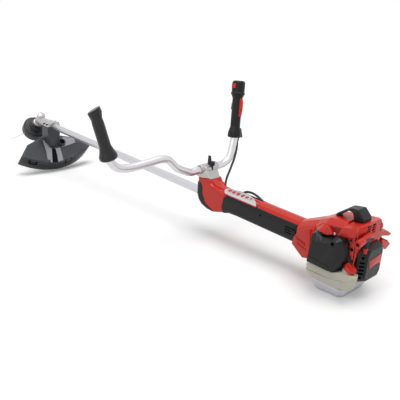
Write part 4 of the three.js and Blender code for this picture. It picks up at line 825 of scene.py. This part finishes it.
def pull_handle():
    """A red hand grip with a black middle, on a black neck over a red sleeve."""
    x, y = ROPE
    red = grip_bar(GRIP_LEFT)
    hole, floor = [
        Shape().rod((x, start, SOCKET_HEIGHT), (x, end, SOCKET_HEIGHT), radius)
        for start, end, radius in (SOCKET_HOLE, SOCKET_SHADE)
    ]
    red.cut(hole)
    # The socket's floor is a near-black disc: painted shade.
    floor.piece("socket_painted_shade", "dark", "pull_grip")
    red.piece("grip_left_end", "red", "pull_grip", instead=["starter_grip"])
    grip_bar(GRIP_MIDDLE).piece("grip_middle", "black", "pull_grip")
    grip_bar(GRIP_TOP).piece("grip_top", "red", "pull_grip")
    neck = Shape().turned((x, y, NECK_FOOT), UP, GRIP_NECK, 24)
    neck.piece("grip_neck", "black", "pull_grip", edge=0.6)
    sleeve = Shape().turned((x, y, SLEEVE_FOOT), UP, GRIP_SLEEVE, 24)
    sleeve.piece("grip_sleeve", "red", "pull_grip", edge=0.5)


# The raised line round the tank, and the room that is cut round the cap's axis.
TANK_SEAM = [
    (-138, -66, -42), (-132, -83, -42.5), (-110, -86, -42), (-60, -86.4, -39), (-30, -86, -34),
    (-6, -82, -28), (7, -72, -24),
]
TANK_SEAM_RADIUS = 1.1
CAP_ROOM = [(-0.4, 17), (26, 17)]


def tank():
    """The tank with a raised seam and a round room in which the cap turns."""
    shell = Shape().copy_of("fuel_tank").soften(1.3, 12)
    cap = joints["fuel_cap_turn"]
    back = MACHINE.inverted()
    seat, out = back @ Vector(cap["pos_m"]), back.to_3x3() @ Vector(cap["axis"])
    shell.cut(Shape().turned(seat, out, CAP_ROOM, 40))
    shell.piece("tank_shell", "tank", instead=["fuel_tank"])
    Shape().sweep(TANK_SEAM, TANK_SEAM_RADIUS, 8).piece("tank_seam", "tank")
    cap_form = Shape().copy_of("fuel_cap").soften(0.7, 3)
    cap_form.piece("cap_form", "red", "filler_cap", instead=["fuel_cap"])


def engine():
    """The engine end's detailed pieces."""
    filter_lid()
    engine_shrouds()
    bell()
    starter()
    pull_rope()
    pull_handle()
    tank()


# ---------------------------------------------------------------- neck
# The bright strip on the near shoulder, seen from above as (x, y), and its openings as (x, half
# length, half width).
STRIP = [
    (-503, -16), (-501, -25), (-494, -31), (-470, -32), (-420, -32), (-364, -32), (-377, -20),
    (-394, -8), (-415, 1), (-445, 4), (-475, 3), (-494, -2), (-501, -8),
]
STRIP_HOLES = [
    (-487, 6.6, 9.4), (-470, 6.8, 9.8), (-452, 6.8, 9.8), (-434, 6.4, 9), (-417, 5.8, 7.6), (-401, 4.8, 5.4),
]
STRIP_TOP, STRIP_THICK = 49.5, 4
HOLE_Y, HOLE_SLANT, HOLE_CUT = -14, 0.35, (38, 52)
# The strip falls towards the near side: from which -y, over which run, how far and how sharply.
FALL_FROM, FALL_RUN, FALL, FALL_POWER = 12, 19, 4.2, 1.6
# The red bed seen through the openings: the strip's outline made smaller and moved, and its depths.
BED_SCALE, BED_SHIFT, BED_DEPTHS = (0.97, 0.86), (-13, -2), (9, 2.2)
# The raised middle of the neck as (x, half width, height), and its section in terms of those two.
SADDLE_SECTION = [(-1, 0), (0, 1.4), (0.6, -1), (0.6, -8), (-1, -6)]
SADDLE = [
    (-574, 14, 62.5), (-564, 15, 55.5), (-553, 18, 50.4), (-540, 19, 47.5), (-522, 18, 45.8), (-502, 16, 45),
]
# The far shoulder is filled, and then cut to a slope: (y, z) outlines and where they lie along x.
FAR_FILL, FAR_FILL_X = [(0.5, 44), (0.5, 20), (28, 34), (28, 20)], (-500, -372)
FAR_SLOPE, FAR_SLOPE_X = [(4, 47), (45, 60), (45, 24), (31, 29)], (-546, -372)
# Near-black sheets behind the side covers' vents and screw holes: painted shade.
VENT_X, VENT_Z = (-254, -227), (0, 24)
SHADE_SHEET_Y = (31.1, 32.2)
COVER_SCREWS, SCREW_Z, SCREW_Y, SCREW_RADIUS = (-344, -224), 20, (27, 31.8), 4.2


def shoulder(y):
    """The height of the strip's surface over the near shoulder."""
    return STRIP_TOP - FALL * max(0, (-y - FALL_FROM) / FALL_RUN) ** FALL_POWER


def neck():
    """The red housing round the drive tube, with its bright strip and painted shade behind its vents."""
    for side in ("left", "right"):
        form = Shape().copy_of(f"housing_{side}")
        if side == "right":
            form.hull(*[(x, y, z) for x in FAR_FILL_X for y, z in FAR_FILL])
        form.soften(1.3, 9)
        form.cut(Shape().plate(FAR_SLOPE, "x", *FAR_SLOPE_X))
        form.piece(f"housing_{side}_form", "red", instead=[f"housing_{side}"])
    strip = Shape().skin([[(x, y, shoulder(y) - depth) for x, y in STRIP] for depth in (STRIP_THICK, 0)])
    holes = Shape()
    for x, long, wide in STRIP_HOLES:
        outline = []
        for step in range(12):
            turn = 2 * math.pi * step / 12
            along, across = long * math.cos(turn), wide * math.sin(turn)
            outline.append((x + along - across * HOLE_SLANT, HOLE_Y + across))
        holes.plate(outline, "z", *HOLE_CUT)
    strip.cut(holes)
    strip.piece("shoulder_strip", "trim", edge=0.4, instead=["trim_strip"])
    (long, wide), (back, aside) = BED_SCALE, BED_SHIFT
    bed = [
        [(x * long + back, y * wide + aside, shoulder(y) - depth) for x, y in STRIP]
        for depth in BED_DEPTHS
    ]
    Shape().skin(bed).piece("strip_bed", "red")
    saddle = Shape().skin([
        [(x, share * half, z + rise) for share, rise in SADDLE_SECTION] for x, half, z in SADDLE
    ])
    saddle.soften(0.9, 4).piece("neck_saddle", "red")
    # Near-black sheets behind the vents and screw holes: painted shade.
    for name, side in (("left", -1), ("right", 1)):
        low, high = sorted(side * y for y in SHADE_SHEET_Y)
        shade_sheet = Shape().box((VENT_X[0], low, VENT_Z[0]), (VENT_X[1], high, VENT_Z[1]))
        inner, outer = [side * y for y in SCREW_Y]
        for x in COVER_SCREWS:
            shade_sheet.rod((x, inner, SCREW_Z), (x, outer, SCREW_Z), SCREW_RADIUS)
        shade_sheet.piece(f"vent_painted_shade_{name}", "dark")


# ---------------------------------------------------------------- handlebar, cable and grips
# The bar's middle line as (y, z) in its own frame, from the left grip to the right one.
BAR_RADIUS = 12.3
BAR_ROUTE = [
    (-392, 212), (-375, 140), (-363, 91), (-343, 66), (-318, 57.5), (-290, 55.5), (-250, 57), (-205, 60),
    (-180, 60), (-157, 53), (-128, 24), (-98, 9), (-76, 0), (-52, 0), (0, 0), (46, 0), (72, 3), (95, 14),
    (109, 34), (118, 58), (126, 80), (131, 108), (136.5, 140),
]
# The cable's middle line from the right grip to the housing, and two places that are passed with its bend.
CABLE_RADIUS = 3.8
CABLE_STEPS = 6
CABLE_ROUTE = [
    (-621.4, 145.2, 174.5), (-619.1, 142.4, 159), (-613, 137, 141), (-606, 128, 122), (-597, 111, 98),
    (-588, 86, 69), (-580, 64, 44), (-570, 50, 22), (-552, 42, 8), (-530, 40, 4), (-508, 39, 12),
    (-486, 38.5, 26), (-466, 38, 38), (-444, 38, 42), (-424, 38.5, 39), (-408, 39, 33), (-398, 38, 29),
    (-392, 33, 28), (-392, 24, 28),
]
CABLE_STILL, CABLE_MOVING = (-575, 60, 35), (-615, 140, 150)
BOOT_RADII = [7, 8.4, 6.4, 4.6]
# The trigger's lever is drawn in towards the grip, to this share of its reach.
TRIGGER_ROOT, TRIGGER_REACH = -14, 0.55
# Ends of the grips in their own frames: each is a hull of two discs, as (centre, axis, radius, sides).
RIGHT_END = [((-4, 3, 171), UP, 13, 24), ((-4, 4, 182), UP, 9.5, 24)]
LEFT_END = [((0, 0, 133), UP, 19.6, 28), ((0.5, 0.5, 143.5), (-0.2, -0.22, 1), 17.6, 28)]


def grip_end(frame, discs, passes):
    """The soft end of a grip."""
    corners = [corner for disc in discs for corner in circle(*disc)]
    return Shape(frame).hull(*corners).soften(0.7, passes)


def controls():
    """The bent bar, the cable, the trigger's lever and the ends of both grips."""
    bar = Shape(BAR).sweep([(0, y, z) for y, z in BAR_ROUTE], BAR_RADIUS, 32, 8)
    bar.piece("bent_bar", "bar", "handlebar", sharp=60, instead=["handlebar"])
    cable = Shape().sweep(CABLE_ROUTE, CABLE_RADIUS, 12, CABLE_STEPS)
    path = [MACHINE @ point for point in smooth_line(CABLE_ROUTE, CABLE_STEPS)]
    length = sum((b - a).length for a, b in zip(path, path[1:]))
    bend = ("handlebar", MACHINE @ Vector(CABLE_STILL), MACHINE @ Vector(CABLE_MOVING))
    sheath = cable.piece("cable_sheath", "cable", instead=["throttle_cable"], bend=bend)
    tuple(path[0])
    first, second, third = [Vector(point) for point in CABLE_ROUTE[:3]]
    boot = Shape().sweep([first * 2 - second, first, second, second.lerp(third, 0.5)], BOOT_RADII, 20)
    boot.piece("cable_boot", "rubber", "handlebar")
    lever = Shape(RIGHT_GRIP).copy_of("throttle_trigger")
    for corner in lever.mesh.verts:
        corner.co.x = TRIGGER_ROOT + (corner.co.x - TRIGGER_ROOT) * TRIGGER_REACH
    lever.piece("trigger_lever", "red", "trigger", edge=0.8, instead=["throttle_trigger"])
    grip_end(RIGHT_GRIP, RIGHT_END, 5).piece("grip_dome", "black", "handlebar")
    grip_end(LEFT_GRIP, LEFT_END, 6).piece("left_grip_cap", "rubber", "handlebar")


# ---------------------------------------------------------------- guard
# Plates on the guard in the head's frame, seen from above as (x, y): look and outline. The pale plates are
# the guard's plastic drawn lighter as painted highlight, and the near-black channel is painted shade.
GUARD_PLATES = {
    "left_rail": (
        "guard_highlight",
        [(118, -36), (142, -26), (170, -14), (239, -40), (236, -60), (171, -44), (138, -41)],
    ),
    "right_rail": ("guard_highlight", [(171, 4), (172, 27), (206, 22), (238, 15), (242, -12), (208, -3)]),
    "guard_channel": ("dark", [(168, -12), (172, 3), (208, -4), (243, -13), (240, -39)]),
    "right_facet": ("guard_highlight", [(118, 62), (134, 116), (160, 112), (168, 62), (172, 34), (150, 50)]),
    "right_panel": (
        "guard",
        [(162, 114), (168, 158), (202, 146), (237, 58), (237, 20), (178, 30), (172, 62)],
    ),
    "left_panel": (
        "guard",
        [(134, -122), (116, -44), (136, -45), (170, -48), (232, -63), (212, -118), (188, -160)],
    ),
}
GUARD_TOP = 18
# How far the plates reach over and into the guard's top, and how their upper edge slopes in.
PLATE_RISE, CHANNEL_RISE, PLATE_ROOT = 2.6, 1.0, 1
PLATE_EDGE, EDGE_SHARES = 0.8, (0.03, 0.05)
# The (x, y) boxes in which the guard is cleared over its top, up to a height.
CLEARED, CLEARED_TO = [((160, -60), (260, 60)), ((196, -200), (260, 200))], 60
POCKET = (148, 44)
POCKET_WALL = [(0, 19), (14, 17.5), (15.5, 15), (15, 12.5), (5, 11.5)]
POCKET_BOLT = [(0, 11.8), (2, 11.8), (2.2, 5), (7, 5), (8, 4)]
# The guard clamp's bolts as (x, y) in the machine's frame, and their parts' heights and profiles.
CLAMP_BOLTS = [(-1657, -26), (-1657, 26), (-1632, -26), (-1632, 26)]
WASHER_Z, BOLT_Z, SOCKET_Z = 5, 8, 12
WASHER, BOLT_HEAD, BOLT_SOCKET = [(0, 6), (6, 6), (7, 5)], [(0, 3.8), (7, 3.8), (7.8, 3)], [(0, 2), (5, 2)]
# Clips that hold the skirt, from one y to another, set back from the guard's round rim: the spans
# of the post at each end, and of the bar between them.
CLIPS = [(-139, -110), (25, 58)]
POST_X, POST_Y, POST_Z = (-4, 5), (-1.5, 1.5), (2, GUARD_TOP + 3)
CLIP_BAR_X, CLIP_BAR_Z = (0, 5.5), (1, 4)
GUARD_RIM, GUARD_MIDDLE, RIM_BACK = 282, 7, 38


def guard():
    """The guard's raised plates, bolt pocket and clips, and the bolts of its clamp."""
    shield = Shape(HEAD).copy_of("guard_shield")
    for low, high in CLEARED:
        shield.cut(Shape(HEAD).box((*low, GUARD_TOP + 0.1), (*high, CLEARED_TO)))
    shield.piece("shield_form", "guard", edge=0.8, instead=["guard_shield"])
    # The pale plates carry painted highlight, and the near-black channel carries painted shade.
    for name, (look, outline) in GUARD_PLATES.items():
        middle = [sum(values) / len(outline) for values in zip(*outline)]
        top = GUARD_TOP + (CHANNEL_RISE if look == "dark" else PLATE_RISE)
        inner = [[v + (m - v) * s for v, m, s in zip(point, middle, EDGE_SHARES)] for point in outline]
        plate = Shape(HEAD).skin([
            [(x, y, GUARD_TOP - PLATE_ROOT) for x, y in outline],
            [(x, y, top - PLATE_EDGE) for x, y in outline],
            [(x, y, top) for x, y in inner],
        ])
        plate.piece(name, look, sharp=12)
    pocket = Shape(HEAD).turned((*POCKET, GUARD_TOP - 2), UP, POCKET_WALL)
    pocket.piece("bolt_pocket", "guard", sharp=30)
    bolt = Shape(HEAD).turned((*POCKET, GUARD_TOP + 2), UP, POCKET_BOLT, 24)
    bolt.piece("pocket_bolt", "dark")
    for number, (x, y) in enumerate(CLAMP_BOLTS, 1):
        washer = Shape().turned((x, y, WASHER_Z), UP, WASHER, 28)
        washer.piece(f"clamp_washer_{number}", "dark")
        head = Shape().turned((x, y, BOLT_Z), UP, BOLT_HEAD, 24)
        head.cut(Shape().turned((x, y, SOCKET_Z), UP, BOLT_SOCKET, 6))
        head.piece(f"clamp_bolt_{number}", "chrome")
    for number, (low, high) in enumerate(CLIPS, 1):
        reach = [math.sqrt(GUARD_RIM**2 - (y + GUARD_MIDDLE) ** 2) - RIM_BACK for y in (low, high)]
        clip = Shape(HEAD)
        ends = list(zip(reach, (low, high)))
        for x, y in ends:
            clip.hull(*[(x + a, y + b, z) for a in POST_X for b in POST_Y for z in POST_Z])
        clip.hull(*[(x + a, y, z) for x, y in ends for a in CLIP_BAR_X for z in CLIP_BAR_Z])
        clip.piece(f"skirt_clip_{number}", "dark")


# ---------------------------------------------------------------- camera, lights and floor
# Place in metres, angles in degrees and lens in millimetres.
CAMERA_AT = Vector((0.69164, -1.144, 0.69046))
CAMERA_AZIMUTH = 47.466
CAMERA_ELEVATION = 19.19
CAMERA_ROLL = 0.1645
LENS = 48.48


def camera():
    """The camera, which looks down along the machine from behind its left side."""
    data = bpy.data.cameras.new("camera")
    data.lens = LENS
    data.clip_start = 0.05
    data.clip_end = 50
    eye = bpy.data.objects.new("camera", data)
    around, up = math.radians(CAMERA_AZIMUTH), math.radians(CAMERA_ELEVATION)
    ahead = Vector((-math.sin(around) * math.cos(up), math.cos(around) * math.cos(up), -math.sin(up)))
    eye.rotation_mode = "QUATERNION"
    roll = Quaternion(UP, math.radians(CAMERA_ROLL))
    eye.rotation_quaternion = ahead.to_track_quat("-Z", "Y") @ roll
    eye.location = CAMERA_AT
    bpy.context.scene.collection.objects.link(eye)
    bpy.context.scene.camera = eye


def sun(name, side, spread, strength):
    """An even soft light that comes from one side, spread over so many degrees."""
    data = bpy.data.lights.new(name, "SUN")
    data.angle = math.radians(spread)
    data.energy = strength
    light = bpy.data.objects.new(name, data)
    light.rotation_mode = "QUATERNION"
    light.rotation_quaternion = Vector(side).to_track_quat("Z", "Y")
    bpy.context.scene.collection.objects.link(light)


def seen_white(tree, shader, white, out):
    """Camera, glossy and transmission rays see the white shader, and the rest see the plain one."""
    add, link = tree.nodes.new, tree.links.new
    path = add("ShaderNodeLightPath")
    largest = path.outputs["Is Camera Ray"]
    for ray in ("Is Glossy Ray", "Is Transmission Ray"):
        either = add("ShaderNodeMath")
        either.operation = "MAXIMUM"
        link(largest, either.inputs[0])
        link(path.outputs[ray], either.inputs[1])
        largest = either.outputs[0]
    mix = add("ShaderNodeMixShader")
    link(largest, mix.inputs["Fac"])
    link(shader, mix.inputs[1])
    link(white, mix.inputs[2])
    link(mix.outputs[0], out)


WORLD_LIGHT = 0.34
# Each soft light: the side that it comes from, its spread in degrees and its strength.
SUNS = {"key": ((0.12, 0.05, 1), 48, 1.75), "fill": ((0.1, -1.0, 0.75), 50, 0.55)}
FLOOR_SIZE = 60.0
FLOOR_AT = (-0.8, 0, -0.0005)
FLOOR_SHARE = 0.98  # how much of the floor's brightness is lit, so how dark the shadow falls
FLOOR_GLOW = 0.11


def studio():
    """A white world, two soft lights and a white floor that keeps the object's shadow."""
    world = bpy.data.worlds.new("studio")
    bpy.context.scene.world = world
    world.use_nodes = True
    tree = world.node_tree
    soft = tree.nodes["Background"]
    soft.inputs["Color"].default_value = (1, 1, 1, 1)
    soft.inputs["Strength"].default_value = WORLD_LIGHT
    white = tree.nodes.new("ShaderNodeBackground")
    white.inputs["Color"].default_value = (1, 1, 1, 1)
    white.inputs["Strength"].default_value = 1.0
    seen_white(tree, soft.outputs[0], white.outputs[0], tree.nodes["World Output"].inputs["Surface"])
    for name, values in SUNS.items():
        sun(name, *values)

    floor = bpy.data.meshes.new("floor")
    half = FLOOR_SIZE / 2
    corners = [(-half, -half, 0), (half, -half, 0), (half, half, 0), (-half, half, 0)]
    floor.from_pydata(corners, [], [(0, 1, 2, 3)])
    ground = bpy.data.objects.new("floor", floor)
    ground.location = FLOOR_AT
    bpy.context.scene.collection.objects.link(ground)
    material = bpy.data.materials.new("studio_floor")
    material.use_nodes = True
    tree = material.node_tree
    add, link = tree.nodes.new, tree.links.new
    tree.nodes.remove(tree.nodes["Principled BSDF"])
    matt, lit = add("ShaderNodeBsdfDiffuse"), add("ShaderNodeBsdfDiffuse")
    glow, both = add("ShaderNodeEmission"), add("ShaderNodeAddShader")
    matt.inputs["Color"].default_value = (0.8, 0.8, 0.8, 1)
    lit.inputs["Color"].default_value = (FLOOR_SHARE, FLOOR_SHARE, FLOOR_SHARE, 1)
    glow.inputs["Strength"].default_value = FLOOR_GLOW
    link(lit.outputs[0], both.inputs[0])
    link(glow.outputs[0], both.inputs[1])
    seen_white(tree, matt.outputs[0], both.outputs[0], tree.nodes["Material Output"].inputs["Surface"])
    ground.data.materials.append(material)


camera()
studio()
dress_nodes()
mouldings()
engine()
neck()
controls()
guard()

bpy.context.scene.view_settings.view_transform = "Standard"
